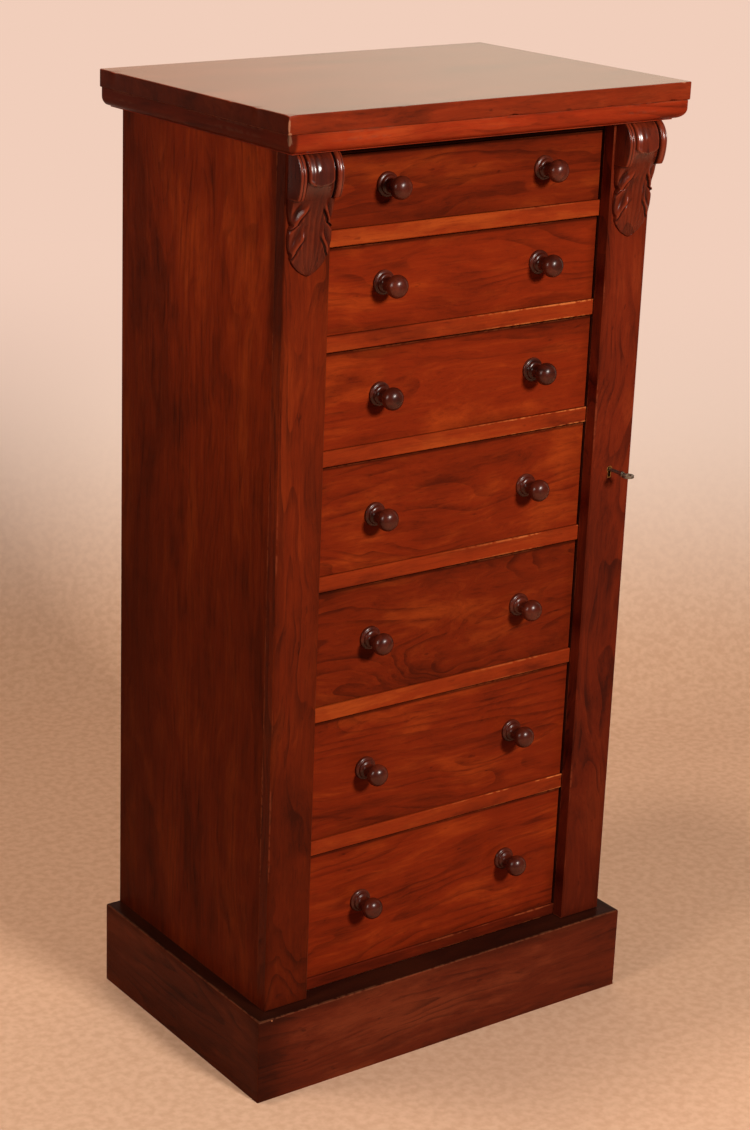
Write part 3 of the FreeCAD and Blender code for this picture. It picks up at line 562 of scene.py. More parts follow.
def corner_arc(start_angle, end_angle):
    """Plan points round the right front corner, as an arc between two angles from the X axis."""
    angle = np.radians(np.linspace(start_angle, end_angle, 4))
    x = plinth_half - plinth_corner + plinth_corner * np.cos(angle)
    return pairs(x, plinth_front_y + plinth_corner + plinth_corner * np.sin(angle))


arc_front = corner_arc(-90.0, -45.0)
arc_side = corner_arc(-45.0, 0.0)
plinth_reach = plinth_half - carcass_half
plinth_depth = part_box("carcass_bottom")[0][1] - plinth_front_y


def plinth_section(depth):
    """The plinth's section: an upright face, a small round at the top arris and a flat ledge behind.

    A board deeper than its mitre gets a point on the ledge and one on the foot where the mitre ends.
    """
    flat = [(0.0, h, plinth_top_z - h) for h in np.linspace(0.0, plinth_top_z - plinth_arris, 16)]
    turn = [
        (plinth_arris * (1.0 - math.cos(a)), plinth_top_z - plinth_arris * (1.0 - math.sin(a)), 0.0)
        for a in np.radians((30.0, 60.0, 90.0))
    ]
    bend = [(plinth_reach, plinth_top_z, plinth_reach)] if depth > plinth_reach else []
    ledge = [(0.006, plinth_top_z, 0.004), *bend, (depth, plinth_top_z, depth), (depth, 0.0, depth)]
    foot = [(plinth_reach, 0.0, plinth_reach)] if bend else []
    return flat + turn + ledge + foot


front_run = np.linspace(-plinth_half + plinth_corner, plinth_half - plinth_corner, 60)[1:-1]
front_path = np.concatenate((
    arc_front[::-1] * (-1.0, 1.0),
    pairs(front_run, plinth_front_y),
    arc_front,
))
plinth_look = {"streaks": 0.2, "clouds": 0.55, "wear": 0.16, "wear_width": 0.0010}
make_piece(
    "plinth_front_board", [front_strip(front_path, plinth_reach, plinth_section(plinth_depth))],
    "case", ["plinth_front"],
    mahogany(
        "plinth_front_wood", "made", 52.0, (98, 36, 19), (124, 53, 29), (60, 24, 15),
        worn=(165, 100, 66), spots=(((-0.262, -0.1757, 0.106), (1.0, 1.0, 1.0), 0.0016),),
        fades=((0.6, ("X", -0.215, -0.28)),), ledge=0.85, **plinth_look,
    ),
)
side_run = np.linspace(plinth_front_y + plinth_corner, plinth_back_y, 40)[1:]
side_path = np.concatenate((arc_side, pairs(plinth_half, side_run)))
plinth_side_shell = side_strip(side_path, plinth_reach, plinth_section(plinth_reach))
make_piece(
    "plinth_side_boards", [plinth_side_shell, mirrored(plinth_side_shell)], "case",
    ["plinth_sides"],
    mahogany(
        "plinth_side_wood", "made", 57.0, (80, 29, 14), (104, 42, 20), (46, 18, 10),
        worn=(140, 84, 56), ledge=0.8, **plinth_look,
    ),
)


# Moulding under the top
# A quarter round between two small flats, planed along three strips of mahogany and mitred at the
# front corners, glued under the top board. Its left corner has two knocks in front, and its left
# end is painted dark as shade.
moulding_low, moulding_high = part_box("top_moulding")
moulding_front_y, moulding_foot_z = moulding_low[1:]
moulding_half, moulding_back_y, moulding_top_z = moulding_high
moulding_radius = 0.012
moulding_foot = 0.0015
moulding_reach = moulding_half - carcass_half


def moulding_section(depth):
    """A flat foot, a quarter round and an upright brow, closed behind, with the mitre's bend."""
    line = [(moulding_radius, moulding_foot_z, 0.0)]
    for turn in np.radians(np.linspace(0.0, 90.0, 13)):
        inward = moulding_radius * (1.0 - math.sin(turn))
        rise = moulding_foot + moulding_radius * (1.0 - math.cos(turn))
        line.append((inward, moulding_foot_z + rise, 0.001 + 0.004 * math.sin(2.0 * turn)))
    line.append((0.0, moulding_top_z - 0.004, 0.003))
    line.append((0.0, moulding_top_z - 0.0006, 0.0))
    line.append((0.0006, moulding_top_z, 0.0))
    bend = [(moulding_reach, moulding_top_z, 0.02)] if depth > moulding_reach else []
    foot = [(moulding_reach, moulding_foot_z, 0.02)] if bend else []
    return line + bend + [(depth, moulding_top_z, 0.02), (depth, moulding_foot_z, 0.02)] + foot


strip_path = pairs(np.linspace(-moulding_half, moulding_half, 90), moulding_front_y)
strip_section = moulding_section(stile_face_y - moulding_front_y)
moulding_front = front_strip(strip_path, moulding_reach, strip_section)
return_path = pairs(moulding_half, np.linspace(moulding_front_y, moulding_back_y, 60))
moulding_right = side_strip(return_path, moulding_reach, moulding_section(moulding_reach))
moulding_knocks = (
    ((-0.279, -0.1897, 1.150), (1.0, 1.0, 0.7), 0.0042),
    ((-0.279, -0.1897, 1.139), (1.0, 1.0, 0.8), 0.0030),
)
# The fade at the left end is painted shade.
make_piece(
    "quarter_round", [moulding_front, moulding_right, mirrored(moulding_right)], "case",
    ["top_moulding"],
    mahogany(
        "quarter_round_wood", "made", 61.0, (154, 47, 20), (176, 68, 30), (104, 32, 15), clouds=0.5,
        wear=0.2, wear_width=0.0012, worn=(112, 72, 54), spots=moulding_knocks,
        fades=((0.75, ("X", -0.266, -0.271)),), grime=0.25,
    ),
)


# Top board
# One wide mahogany board with a square edge, polished to a soft mirror. Its arrises are rubbed pale
# at the front corners, and chipped along the left edge and the front.
top_arris = 0.0014
top_step = 0.005
chips = (
    (-0.281, -0.13, 1.177, 0.004, 0.0014),
    (-0.281, -0.08, 1.177, 0.003, 0.001),
    (-0.281, 0.165, 1.177, 0.006, 0.0012),
    (-0.279, -0.191, 1.177, 0.005, 0.0012),
    (0.02, -0.1918, 1.156, 0.007, 0.0013),
    (0.16, -0.1918, 1.156, 0.004, 0.001),
    (0.255, -0.1918, 1.1565, 0.006, 0.0014),
    (-0.13, -0.1918, 1.177, 0.004, 0.0008),
)


def soft_board(low, high, radius, step, knocks):
    """A board with rounded arrises and a few knocks, as six grids welded along their edges.

    Every point of the box is drawn back to the inner box that lies one radius inside and then set
    one radius out from it. A knock moves points inwards by its depth times exp(-(distance/size)^2).
    """
    low = np.asarray(low)
    high = np.asarray(high)
    corner = radius * np.array((0.0, 0.3, 1.0, 1.5))
    stops = []
    for axis in range(3):
        count = max(2, int((high[axis] - low[axis] - 3.0 * radius) / step))
        inner = np.linspace(low[axis] + corner[3], high[axis] - corner[3], count)
        stops.append(np.concatenate((low[axis] + corner[:3], inner, (high[axis] - corner[:3])[::-1])))
    points = []
    faces = []
    total = 0
    for axis in range(3):
        first, second = [other for other in range(3) if other != axis]
        grid_first, grid_second = np.meshgrid(stops[first], stops[second], indexing="ij")
        for side in (low[axis], high[axis]):
            sheet = np.empty(grid_first.shape + (3,))
            sheet[..., first] = grid_first
            sheet[..., second] = grid_second
            sheet[..., axis] = side
            points.append(sheet.reshape(-1, 3))
            faces.append(grid_faces(*grid_first.shape) + total)
            total += grid_first.size
    points = np.concatenate(points)
    distances = np.sort(np.minimum(points - low, high - points), axis=1)
    micrometres = np.round(points * 1e6).astype(np.int64)
    kept, welded = np.unique(micrometres, axis=0, return_index=True, return_inverse=True)[1:]
    edge = distances[kept, 1]
    points = points[kept]
    faces = welded.reshape(-1)[np.concatenate(faces)]
    inner = np.clip(points, low + radius, high - radius)
    away = points - inner
    length = np.linalg.norm(away, axis=1, keepdims=True)
    points = inner + away / length * radius
    at_face = 0.003
    for x, y, z, size, depth in knocks:
        spot = np.array((x, y, z))
        near = np.exp(-(np.linalg.norm(points - spot, axis=1) / size) ** 2)
        direction = np.sign((low + high) / 2 - spot)
        direction[0] *= abs(abs(x) - high[0]) < at_face
        direction[1] *= abs(y - low[1]) < at_face
        points = points + near[:, None] * depth * direction
    return points, faces.tolist(), points.copy(), edge


make_piece(
    "top_board_polished", [soft_board(*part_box("top_board"), top_arris, top_step, chips)], "case",
    ["top_board"],
    mahogany(
        "top_board_wood", "X", 71.0, (130, 43, 19), (156, 60, 28), (76, 27, 14),
        box=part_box("top_board"), rings=0.25, wear=0.2, wear_width=0.0007, worn=(160, 100, 72),
        spots=(
            ((-0.2806, -0.1914, 1.166), (1.0, 1.0, 0.2), 0.0016),
            ((-0.279, -0.1915, 1.157), (0.8, 1.0, 1.0), 0.0022),
            ((0.268, -0.1917, 1.1775), (0.35, 1.0, 1.0), 0.0016),
        ),
        grime=0.2, end_grain=0.7, ledge=0.3, coat_up=0.98,
    ),
    sharp=60.0,
)


# Drawers
# Seven solid mahogany fronts with the grain along them, each from another part of the board: wavy
# streaks, cloudy patches and broken growth rings. Dirt darkens them beside their arrises, and a strip
# along the top of each is painted shadow from the rail above. The boxes and bottoms behind them are
# plain, unpolished wood.
drawer_looks = (
    (0.90, 101.0, {"rings": 0.55, "clouds": 0.5, "waviness": 0.1}),
    (1.03, 104.2, {"rings": 0.55, "clouds": 0.5, "waviness": 0.1}),
    (1.02, 108.1, {"rings": 0.55, "clouds": 0.5, "waviness": 0.12}),
    (0.98, 111.6, {"rings": 0.55, "clouds": 0.6, "waviness": 0.12}),
    (0.90, 115.4, {"rings": 0.7, "clouds": 0.6, "waviness": 0.18}),
    (0.98, 119.9, {"rings": 0.55, "clouds": 0.5, "waviness": 0.12}),
    (1.02, 123.3, {"rings": 0.55, "clouds": 0.5, "waviness": 0.1}),
)
front_shades = np.array(((124.0, 37.0, 12.5), (156.0, 58.0, 19.0), (82.0, 24.0, 9.5)))
box_shades = ((150, 92, 58), (176, 120, 80), (100, 58, 36))
drawer_back_thickness = 0.009
for number, (brightness, seed, look) in enumerate(drawer_looks, 1):
    drawer = "drawer_" + str(number)
    front_top_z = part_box(drawer + "_front")[1][2]
    # The fade along the top of the front is painted shadow under the rail above.
    polished_board(
        drawer + "_front", "X", seed, *(brightness * front_shades), wear=0.12, wear_width=0.0008,
        grime=0.35, fades=((0.7, ("Z", front_top_z - 0.004, front_top_z - 0.001)),), **look,
    )
    back_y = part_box(drawer + "_box")[1][1] - drawer_back_thickness
    plain_board(drawer + "_box", "Y", 200.0 + number, box_shades, cross_after=back_y)
    plain_board(drawer + "_bottom", "X", 210.0 + number)


# Knobs
# Turned from one piece of dark wood each, with a round flange, a waist and a domed head, fixed by a
# tenon in the drawer front. Handling has left them dark and glossy, and paler at the flange's rim.
knob_profile = (
    (0.0, 14.3), (1.6, 14.3), (2.7, 13.9), (3.5, 12.8), (3.9, 11.6),
    (4.5, 11.1), (5.7, 10.9), (6.7, 10.1), (7.5, 8.7), (9.2, 7.5),
    (11.8, 7.0), (14.4, 7.1), (15.9, 7.9), (16.8, 9.0), (17.8, 9.5),
    (18.8, 9.4), (19.7, 10.3), (21.8, 12.2), (24.6, 13.2), (27.5, 13.2),
    (30.2, 12.4), (32.9, 10.4), (35.0, 7.4), (36.1, 4.0), (36.5, 0.0),
)


def through_points(points, steps):
    """A smooth line through given points.

    From a point b to the next one c, with a before and d after them, it is half of
    2b + (c - a)t + (2a - 5b + 4c - d)t^2 + (3b - 3c + d - a)t^3.
    """
    points = np.asarray(points, float)
    ends = np.concatenate((points[:1], points, points[-1:]))
    a, b, c, d = ends[:-3, None], ends[1:-2, None], ends[2:-1, None], ends[3:, None]
    t = np.linspace(0.0, 1.0, steps, endpoint=False)[None, :, None]
    line = 2.0 * b + (c - a) * t
    line = line + (2.0 * a - 5.0 * b + 4.0 * c - d) * t**2
    line = line + (3.0 * b - 3.0 * c + d - a) * t**3
    return np.concatenate((0.5 * line.reshape(-1, points.shape[1]), points[-1:]))


knob_flange_radius = 0.0145
knob_rim_reach = 0.003
far_from_rim = 0.02
knob_sides = 40


def turned(profile, middle, sides):
    """A profile of reach and radius spun about an axis that points to -Y, and ends in a pole.

    The last result is the step in reach from the flange's rim plus four times the step in radius.
    """
    reach, radius = profile[:-1].T
    angle = np.linspace(0.0, 2.0 * math.pi, sides, endpoint=False)
    across = radius[:, None] * np.cos(angle)
    up = radius[:, None] * np.sin(angle)
    along = np.broadcast_to(reach[:, None], across.shape)
    grain = np.stack((along, across, up), axis=2).reshape(-1, 3)
    grain = np.concatenate((grain, [(profile[-1, 0], 0.0, 0.0)]))
    points = np.array(middle) + grain[:, [1, 0, 2]] * (1.0, -1.0, 1.0)
    rows = len(reach)
    last = (rows - 1) * sides
    fan = [[last + place, rows * sides, last + (place + 1) % sides] for place in range(sides)]
    faces = grid_faces(rows, sides, closed=True).tolist() + fan + [list(range(sides))]
    beside_rim = np.abs(reach - knob_rim_reach) + 4.0 * np.abs(radius - knob_flange_radius)
    return points, faces, grain, np.append(np.repeat(beside_rim, sides), far_from_rim)


knob_line = through_points(np.array(knob_profile) / 1000.0, 3)
knob_line[:, 1] = np.maximum(knob_line[:, 1], 0.0)
knob_line[-1, 1] = 0.0
for number in range(1, 8):
    drawer = "drawer_" + str(number)
    knob_low, knob_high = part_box(drawer + "_knobs")
    knob_face_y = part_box(drawer + "_front")[0][1]
    knob_z = (knob_low[2] + knob_high[2]) / 2
    shells = []
    for knob_x in (knob_low[0] + knob_flange_radius, knob_high[0] - knob_flange_radius):
        points, faces, grain, rim = turned(knob_line, (knob_x, knob_face_y, knob_z), knob_sides)
        shells.append((points, faces, grain + number + 9.0 * knob_x, rim))
    make_piece(
        drawer + "_turned_knobs", shells, drawer, [drawer + "_knobs"],
        mahogany(
            drawer + "_knob_wood", "made", 300.0 + number, (78, 26, 14), (100, 39, 23), (42, 14, 9),
            wear=0.3, wear_width=0.004, worn=(120, 62, 46), grime=0.0, gloss=0.0, coat=0.6,
            coat_roughness=0.27,
        ),
        sharp=80.0,
    )


# Corbels
# Each is carved from one block: a roll with a bead at either side of a broad band, and a lobed leaf
# that hangs from it and dies into the stile. Wax and dirt have gathered in the carving, and painted
# shade darkens its hollows further; its raised parts are painted lighter as light, and the right
# corbel is painted lighter than the left as the light that falls on it.
corbel_width = 0.057
corbel_height = 0.136
scroll_drop = 0.050
scroll_line = through_points((
    (0.0150, 0.0000), (0.0205, 0.0050), (0.0245, 0.0120), (0.0266, 0.0190), (0.0270, 0.0255),
    (0.0265, 0.0320), (0.0253, 0.0390), (0.0236, 0.0450), (0.0218, 0.0485), (0.0206, 0.0500),
), 12)
rib_line = through_points((
    (0.0258, 0.0340), (0.0236, 0.0400), (0.0206, 0.0480), (0.0168, 0.0580), (0.0132, 0.0700),
    (0.0110, 0.0850), (0.0092, 0.1050), (0.0066, 0.1220), (0.0028, 0.1360),
), 12)
leaf_spans = through_points((
    (0.0500, 0.0276), (0.0640, 0.0276), (0.0730, 0.0262), (0.0780, 0.0238), (0.0800, 0.0258),
    (0.0880, 0.0276), (0.0990, 0.0276), (0.1060, 0.0262), (0.1100, 0.0240), (0.1140, 0.0240),
    (0.1200, 0.0216), (0.1260, 0.0168), (0.1310, 0.0110), (0.1345, 0.0050), (0.1360, 0.0010),
), 6)


def skirted(points, back_y):
    """Closes a carved sheet: its rim is carried back to the plane of the stile and joined across."""
    rows, columns = points.shape[:2]
    ring = np.concatenate((
        np.arange(columns),
        np.arange(1, rows) * columns + columns - 1,
        (rows - 1) * columns + np.arange(columns - 1)[::-1],
        np.arange(1, rows - 1)[::-1] * columns,
    ))
    flat = points.reshape(-1, 3)
    foot = flat[ring].copy()
    foot[:, 1] = back_y
    start = len(flat)
    place = np.arange(len(ring))
    after = (place + 1) % len(ring)
    walls = np.stack((ring[place], start + place, start + after, ring[after]), axis=1)
    faces = np.concatenate((grid_faces(rows, columns), walls)).tolist()
    faces.append((start + place).tolist())
    return np.concatenate((flat, foot)), faces


def step_up(value, start, end):
    """0 up to start, 1 from end on and 3t^2 - 2t^3 between."""
    share = np.clip((value - start) / (end - start), 0.0, 1.0)
    return share * share * (3.0 - 2.0 * share)


def mound(value, middle, width):
    """A smooth hill of height 1: exp(-((value - middle) / width)^2)."""
    return np.exp(-(((value - middle) / width) ** 2))


def make_corbel_shell(middle_x, top_z, back_y):
    """Roll and leaf as one closed sheet of reach over drop and share of the half width.

    Roll: the side line, with a half-round bead at each side, a channel inside it and two reeds on
    the band between. The band ends in a lip shaped like a U, and below the lip the leaf's middle rib
    follows its own line. The leaf falls from rib to rim as a cosine to the power 0.7. Flutes are
    cosines across that run together at the tip, lobes are hollows with a raised lower rim, and each
    lobe's rim steps down to the next along a line that leans outwards.
    """
    rows = np.concatenate((
        np.linspace(0.0, 0.030, 44),
        np.linspace(0.0305, 0.0495, 54),
        np.linspace(0.0498, 0.0512, 8),
        np.linspace(0.0518, corbel_height, 156),
    ))
    drop = rows[:, None]
    side = np.linspace(-1.0, 1.0, 121)[None, :]
    gap = np.abs(side)
    reach = np.interp(rows, scroll_line[:, 1], scroll_line[:, 0])[:, None]
    bead = np.clip(1.0 - ((gap - 0.84) / 0.16) ** 2, 0.0, 1.0) ** 0.5
    band = np.clip(1.0 - (gap / 0.58) ** 2, 0.0, 1.0)
    outer = step_up(gap, 0.60, 0.68)
    cut_in = 0.0036 * (1.0 - bead) * outer + 0.0038 * mound(gap, 0.64, 0.06)
    cut_in = cut_in + 0.0018 * (1.0 - band) * (1.0 - outer)
    reeds = mound(side, -0.36, 0.085) + mound(side, -0.10, 0.1)
    groove = mound(gap, 0.885, 0.018)
    roll = reach - cut_in + 0.0007 * reeds * (1.0 - outer) - 0.0009 * groove

    lower = np.clip((drop - scroll_drop) / (corbel_height - scroll_drop), 0.0, 1.0)
    rib = np.interp(rows, rib_line[:, 1], rib_line[:, 0])[:, None]
    rim = np.interp(rows, (0.040, 0.052, 0.070, 0.136), (0.013, 0.0095, 0.0060, 0.0016))[:, None]
    leaf = rim + (rib - rim) * np.cos(gap * math.pi / 2) ** 0.7
    spread = side * (1.0 + 0.25 * lower)
    flutes = 0.5 - 0.5 * np.cos(spread * 2.0 * math.pi * 3.5)
    inner = 1.0 - step_up(gap, 0.50, 0.72)
    leaf = leaf - 0.0008 * flutes * inner * step_up(drop, 0.048, 0.066) * (1.0 - 0.5 * lower)
    lean = drop - 0.034 * (gap - 0.35)
    wing = step_up(gap, 0.30, 0.48)
    first_lobe = 1.0 - step_up(lean, 0.0600, 0.0616)
    leaf = leaf + 0.0026 * wing * mound(lean, 0.0585, 0.0045) * first_lobe
    leaf = leaf - 0.0036 * mound(gap, 0.74, 0.19) * mound(lean, 0.0490, 0.0065)
    leaf = leaf - 0.0016 * wing * mound(lean, 0.0630, 0.0018)
    low_lean = drop - 0.036 * (gap - 0.35)
    second_lobe = 1.0 - step_up(low_lean, 0.0910, 0.0926)
    leaf = leaf + 0.0018 * wing * mound(low_lean, 0.0890, 0.0048) * second_lobe
    leaf = leaf - 0.0026 * mound(gap, 0.70, 0.17) * mound(low_lean, 0.0780, 0.0085)
    leaf = leaf - 0.0012 * wing * mound(low_lean, 0.0940, 0.0018)
    leaf = np.clip(leaf, 0.0008, 0.0258)

    lip = 0.0345 - 0.0060 * (gap / 0.60) ** 4
    below_lip = step_up(drop, lip - 0.0010, lip + 0.0022) * (1.0 - step_up(gap, 0.58, 0.64))
    roll_edge = step_up(drop, 0.0494, 0.0508)
    share = np.maximum(below_lip, roll_edge)
    height = roll * (1.0 - share) + leaf * share
    curl = 0.0005 * mound(drop, lip - 0.0022, 0.0016) * (1.0 - step_up(gap, 0.5, 0.6))
    height = np.clip(height + curl, 0.0008, 0.0268)
    half = np.interp(rows, leaf_spans[:, 0], leaf_spans[:, 1])[:, None]
    half = np.where(drop < scroll_drop, corbel_width / 2, half)
    x = middle_x + side * half
    sheet = np.stack((x, back_y - height, np.broadcast_to(top_z - drop, x.shape)), axis=2)
    points, faces = skirted(sheet, back_y)
    grain = points[:, [2, 0, 1]]
    around = height.copy()
    for turn in range(6):
        around[1:-1] = (around[:-2] + around[2:] + 2.0 * around[1:-1]) / 4.0
        around[:, 2:-2] = (around[:, :-4] + around[:, 4:] + 2.0 * around[:, 2:-2]) / 4.0
    proud = np.zeros(len(points))
    proud[: height.size] = (height - around).ravel()
    return points, faces, grain, proud


def carved_wood(title, seed, base, light, roll_foot_z):
    """Mahogany of the carving, whose attribute edge says how far a place stands above those around it.

    The roll is polished by every hand and cloth that passes, and the leaf below it less.
    """
    material = mahogany(
        title, "made", seed, base, light, (38, 13, 8), wear=0.0, grime=0.0, gloss=0.0,
        coat_roughness=0.24,
    )
    tree = material.node_tree
    shader = tree.nodes["Principled BSDF"]
    shade = shader.inputs["Base Color"].links[0].from_socket
    proud = add(tree, "Attribute", attribute_name="edge").outputs["Fac"]
    # Hollows are darkened for dirt and painted shade, raised parts are painted lighter as light on
    # them.
    hollow_dirt_and_shade = times(tree, between(tree, proud, 0.0, -0.0007), 0.85)
    shade = blend(tree, hollow_dirt_and_shade, shade, colour(30, 11, 8))
    raised_painted_light = times(tree, between(tree, proud, 0.0, 0.0006), 0.45)
    shade = blend(tree, raised_painted_light, shade, colour(150, 56, 28))
    tree.links.new(shade, shader.inputs["Base Color"])
    place = tree.nodes.new("ShaderNodeTexCoord").outputs["Object"]
    level = add(tree, "SeparateXYZ", {0: place}).outputs["Z"]
    above = between(tree, level, roll_foot_z, roll_foot_z + 0.015)
    polish = maths(tree, "MULTIPLY_ADD", above, 0.7, 0.3)
    tree.links.new(polish, shader.inputs["Coat Weight"])
    return material


# The right corbel's lighter shades are painted light: it catches more of the light than the left.
for corbel, body, corbel_seed, base, light in (
    ("corbel_left", "case", 81.0, (78, 25, 13), (104, 38, 19)),
    ("corbel_right", "flap", 84.0, (98, 32, 15), (128, 47, 23)),
):
    corbel_low, corbel_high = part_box(corbel)
    carving = make_corbel_shell((corbel_low[0] + corbel_high[0]) / 2, corbel_high[2], stile_face_y)
    make_piece(
        corbel + "_carved", [carving], body, [corbel],
        carved_wood(corbel + "_wood", corbel_seed, base, light, corbel_high[2] - scroll_drop),
        sharp=50.0,
    )


# Metal parts
# Brass hinges, keyhole lining, lock case and strike plate, gone dull and brown in patches, and a hook
# bolt and key of steel, greyed and finely scratched.
def worn_metal(title, base, dull, roughness, spots):
    """Old metal: a noise takes the colour from base to its dull shade, which is also rougher."""
    material, tree, shader = new_material(title)
    place = tree.nodes.new("ShaderNodeTexCoord").outputs["Object"]
    tarnish = between(tree, speckle(tree, place, (spots, spots, spots), 5.0, 0.6), 0.38, 0.68)
    tree.links.new(blend(tree, tarnish, colour(*base), colour(*dull)), shader.inputs["Base Color"])
    tree.links.new(maths(tree, "MULTIPLY_ADD", tarnish, 0.25, roughness), shader.inputs["Roughness"])
    shader.inputs["Metallic"].default_value = 1.0
    scratches = speckle(tree, place, (300.0, 2200.0, 900.0), 2.0)
    bump = add(tree, "Bump", {"Height": scratches, "Strength": 0.15, "Distance": 0.0002})
    tree.links.new(bump.outputs["Normal"], shader.inputs["Normal"])
    return material


brass = worn_metal("old_brass", (196, 150, 84), (104, 72, 42), 0.3, 120.0)
steel = worn_metal("old_steel", (150, 144, 134), (92, 82, 72), 0.32, 140.0)
brass_nodes = ("hinge_leaves_fixed", "hinge_leaves_moving", "key_lining", "lock_case", "strike_plate")
for brass_node in brass_nodes:
    finish_node(brass_node, brass)
finish_node("lock_bolt", steel)
finish_node("key", steel)


# Room
# A pale floor that runs up into a pale wall in one curve, with soft lamps in front, on the left,
# behind on the right, and above. The camera stands where the photograph was taken.
azimuth, elevation, roll = np.radians((33.32, 18.75, 1.05))


def make_paper():
    """The room's pale paper, which glows by itself from the foot of the wall up.

    Light that has bounced off dull surfaces meets a dimmer floor. Mirrored in the polish, the high
    part of the wall goes from dim on the left to bright on the right.
    """
    wall_foot = 0.02
    high_part = (1.17, 1.29)
    left_to_right = (0.19, 1.04)
    material, tree, shader = new_material("backdrop_paper")
    place = tree.nodes.new("ShaderNodeTexCoord").outputs["Object"]
    parts = add(tree, "SeparateXYZ", {0: place}).outputs
    rays = tree.nodes.new("ShaderNodeLightPath").outputs
    mottle = between(tree, speckle(tree, place, (90.0, 90.0, 90.0), 4.0), 0.3, 0.7)
    shade = blend(tree, mottle, colour(208, 166, 136), colour(220, 180, 150))
    shade = blend(tree, rays["Is Diffuse Ray"], shade, colour(150, 116, 92))
    shade = blend(tree, between(tree, parts["Z"], wall_foot, 0.5), shade, colour(244, 226, 210))
    tree.links.new(shade, shader.inputs["Base Color"])
    shader.inputs["Roughness"].default_value = 0.9
    shader.inputs["Specular IOR Level"].default_value = 0.1
    seen = maths(tree, "MAXIMUM", rays["Is Camera Ray"], rays["Is Glossy Ray"])
    seen = maths(tree, "MAXIMUM", seen, rays["Is Transmission Ray"])
    seen = times(tree, seen, between(tree, parts["Z"], wall_foot, 0.7))
    to_right = between(tree, parts["X"], *left_to_right)
    high_shade = blend(tree, to_right, colour(228, 185, 155), colour(255, 229, 201))
    high_share = times(tree, between(tree, parts["Z"], *high_part), rays["Is Glossy Ray"])
    glow_shade = blend(tree, high_share, colour(241, 206, 187), high_shade)
    glow = add(tree, "Emission", {"Color": glow_shade})
    mix = add(tree, "MixShader", {0: seen, 1: shader.outputs[0], 2: glow.outputs[0]})
    tree.links.new(mix.outputs[0], tree.nodes["Material Output"].inputs["Surface"])
    return material


def make_backdrop():
    """A sheet that lies flat, bends up over a quarter circle and stands as a wall, behind the chest.

    The bend turns about the camera's own level direction, so the wall faces the camera squarely.
    """
    away = np.array((math.sin(azimuth), math.cos(azimuth)))
    aside = np.array((away[1], -away[0]))
    bend = np.radians(np.linspace(0.0, 90.0, 25))
    radius = 0.5
    wall_distance = 1.35
    floor_end = wall_distance - radius
    flat = pairs(np.linspace(-4.2, floor_end, 24), 0.0)
    curve = pairs(floor_end + radius * np.sin(bend), radius * (1.0 - np.cos(bend)))
    wall = pairs(wall_distance, np.linspace(radius, 3.2, 16))
    line = np.concatenate((flat, curve[1:], wall[1:]))
    across = np.linspace(-3.6, 3.6, 30)
    points = np.empty((len(line), len(across), 3))
    points[..., :2] = line[:, :1, None] * away + across[None, :, None] * aside
    points[..., 2] = line[:, 1:]
    faces = grid_faces(*points.shape[:2])[:, ::-1]
    mesh = bpy.data.meshes.new("backdrop")
    mesh.from_pydata(points.reshape(-1, 3).tolist(), [], faces.tolist())
    mesh.polygons.foreach_set("use_smooth", np.ones(len(mesh.polygons), bool))
    mesh.materials.append(make_paper())
    return bpy.data.objects.new("backdrop", mesh)


backdrop = make_backdrop()
scene.collection.objects.link(backdrop)


def stand_object(name, data, side, rise, away, place):
    """Puts an object in the room with its own X, Y and Z along side, rise and away."""
    matrix = np.eye(4)
    matrix[:3] = np.stack((side, rise, away, place), axis=1)
    thing = bpy.data.objects.new(name, data)
    thing.matrix_world = Matrix(matrix.tolist())
    scene.collection.objects.link(thing)
    return thing


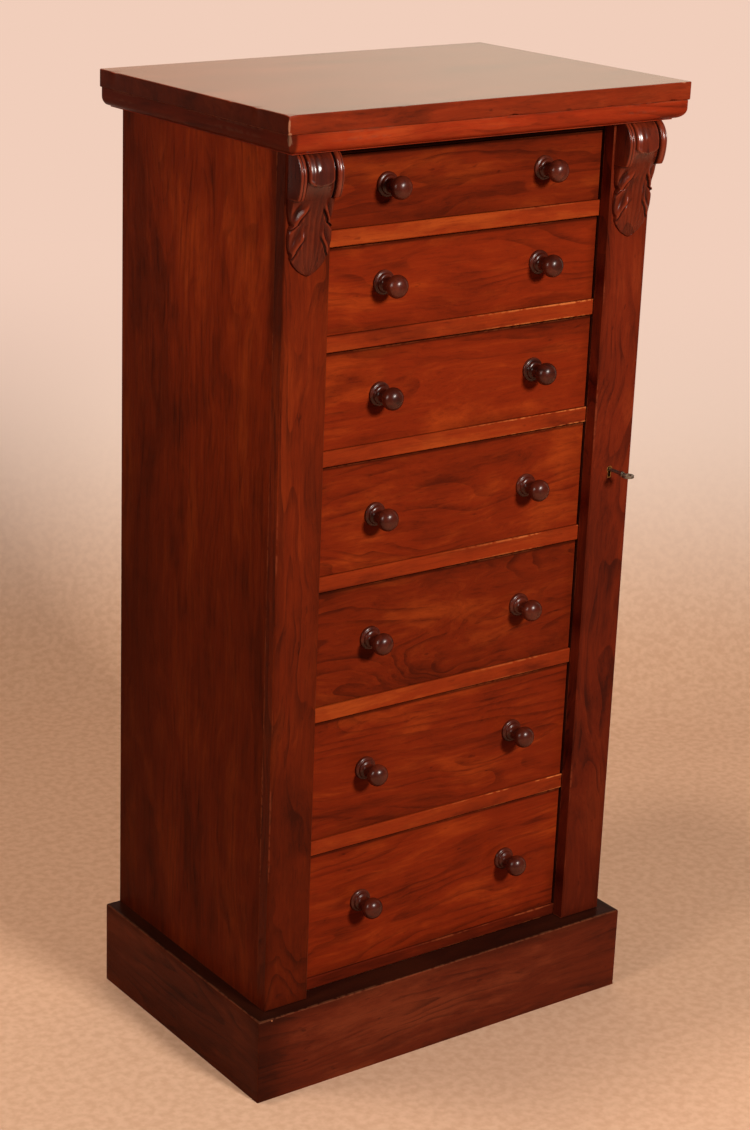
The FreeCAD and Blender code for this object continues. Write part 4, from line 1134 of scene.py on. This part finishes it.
def soft_lamp(name, place, target, width, height, watts, shade):
    """A rectangular lamp that faces a target; only what it lights shows, not the lamp itself."""
    lamp = bpy.data.lights.new(name, "AREA")
    lamp.shape = "RECTANGLE"
    lamp.size = width
    lamp.size_y = height
    lamp.energy = watts
    lamp.color = colour(*shade)[:3]
    away = np.array(place) - np.array(target)
    away = away / np.linalg.norm(away)
    side = np.cross((0.0, 0.0, 1.0), away)
    side = side / np.linalg.norm(side)
    stand_object(name, lamp, side, np.cross(away, side), away, place).visible_camera = False


soft_lamp("key_lamp", (0.2, -2.75, 2.0), (0.0, 0.0, 0.62), 0.45, 0.45, 87.0, (255, 248, 240))
soft_lamp("fill_lamp", (-2.9, -0.6, 1.9), (0.0, 0.0, 0.6), 0.7, 0.9, 33.0, (255, 244, 232))
soft_lamp("back_lamp", (1.3, 1.9, 2.2), (0.0, 0.0, 1.15), 2.4, 0.9, 16.0, (255, 240, 224))
soft_lamp("ceiling_lamp", (-0.68, 0.14, 3.3), (0.0, 0.0, 1.0), 0.3, 0.3, 30.0, (255, 240, 228))

world = bpy.data.worlds.new("room")
world.use_nodes = True
background = world.node_tree.nodes["Background"].inputs
background["Color"].default_value = colour(250, 240, 230)
background["Strength"].default_value = 0.08
scene.world = world
scene.view_settings.view_transform = "Standard"

level_share = math.cos(elevation)
ahead = np.array((
    math.sin(azimuth) * level_share,
    math.cos(azimuth) * level_share,
    -math.sin(elevation),
))
right = np.array((math.cos(azimuth), -math.sin(azimuth), 0.0))
rise = np.cross(right, ahead)
camera = bpy.data.cameras.new("camera")
scene.camera = stand_object(
    "camera", camera, right * math.cos(roll) + rise * math.sin(roll),
    -right * math.sin(roll) + rise * math.cos(roll), -ahead, (-1.719, -2.2787, 1.570),
)
photo_width = 750.0
photo_height = 1130.0
lens_axis_x = 228.0
lens_axis_y = 543.0
focal_pixels = 2446.0
camera.sensor_fit = "VERTICAL"
camera.sensor_height = 24.0
camera.lens = focal_pixels / photo_height * camera.sensor_height
camera.shift_x = (photo_width / 2 - lens_axis_x) / photo_height
camera.shift_y = -(photo_height / 2 - lens_axis_y) / photo_height
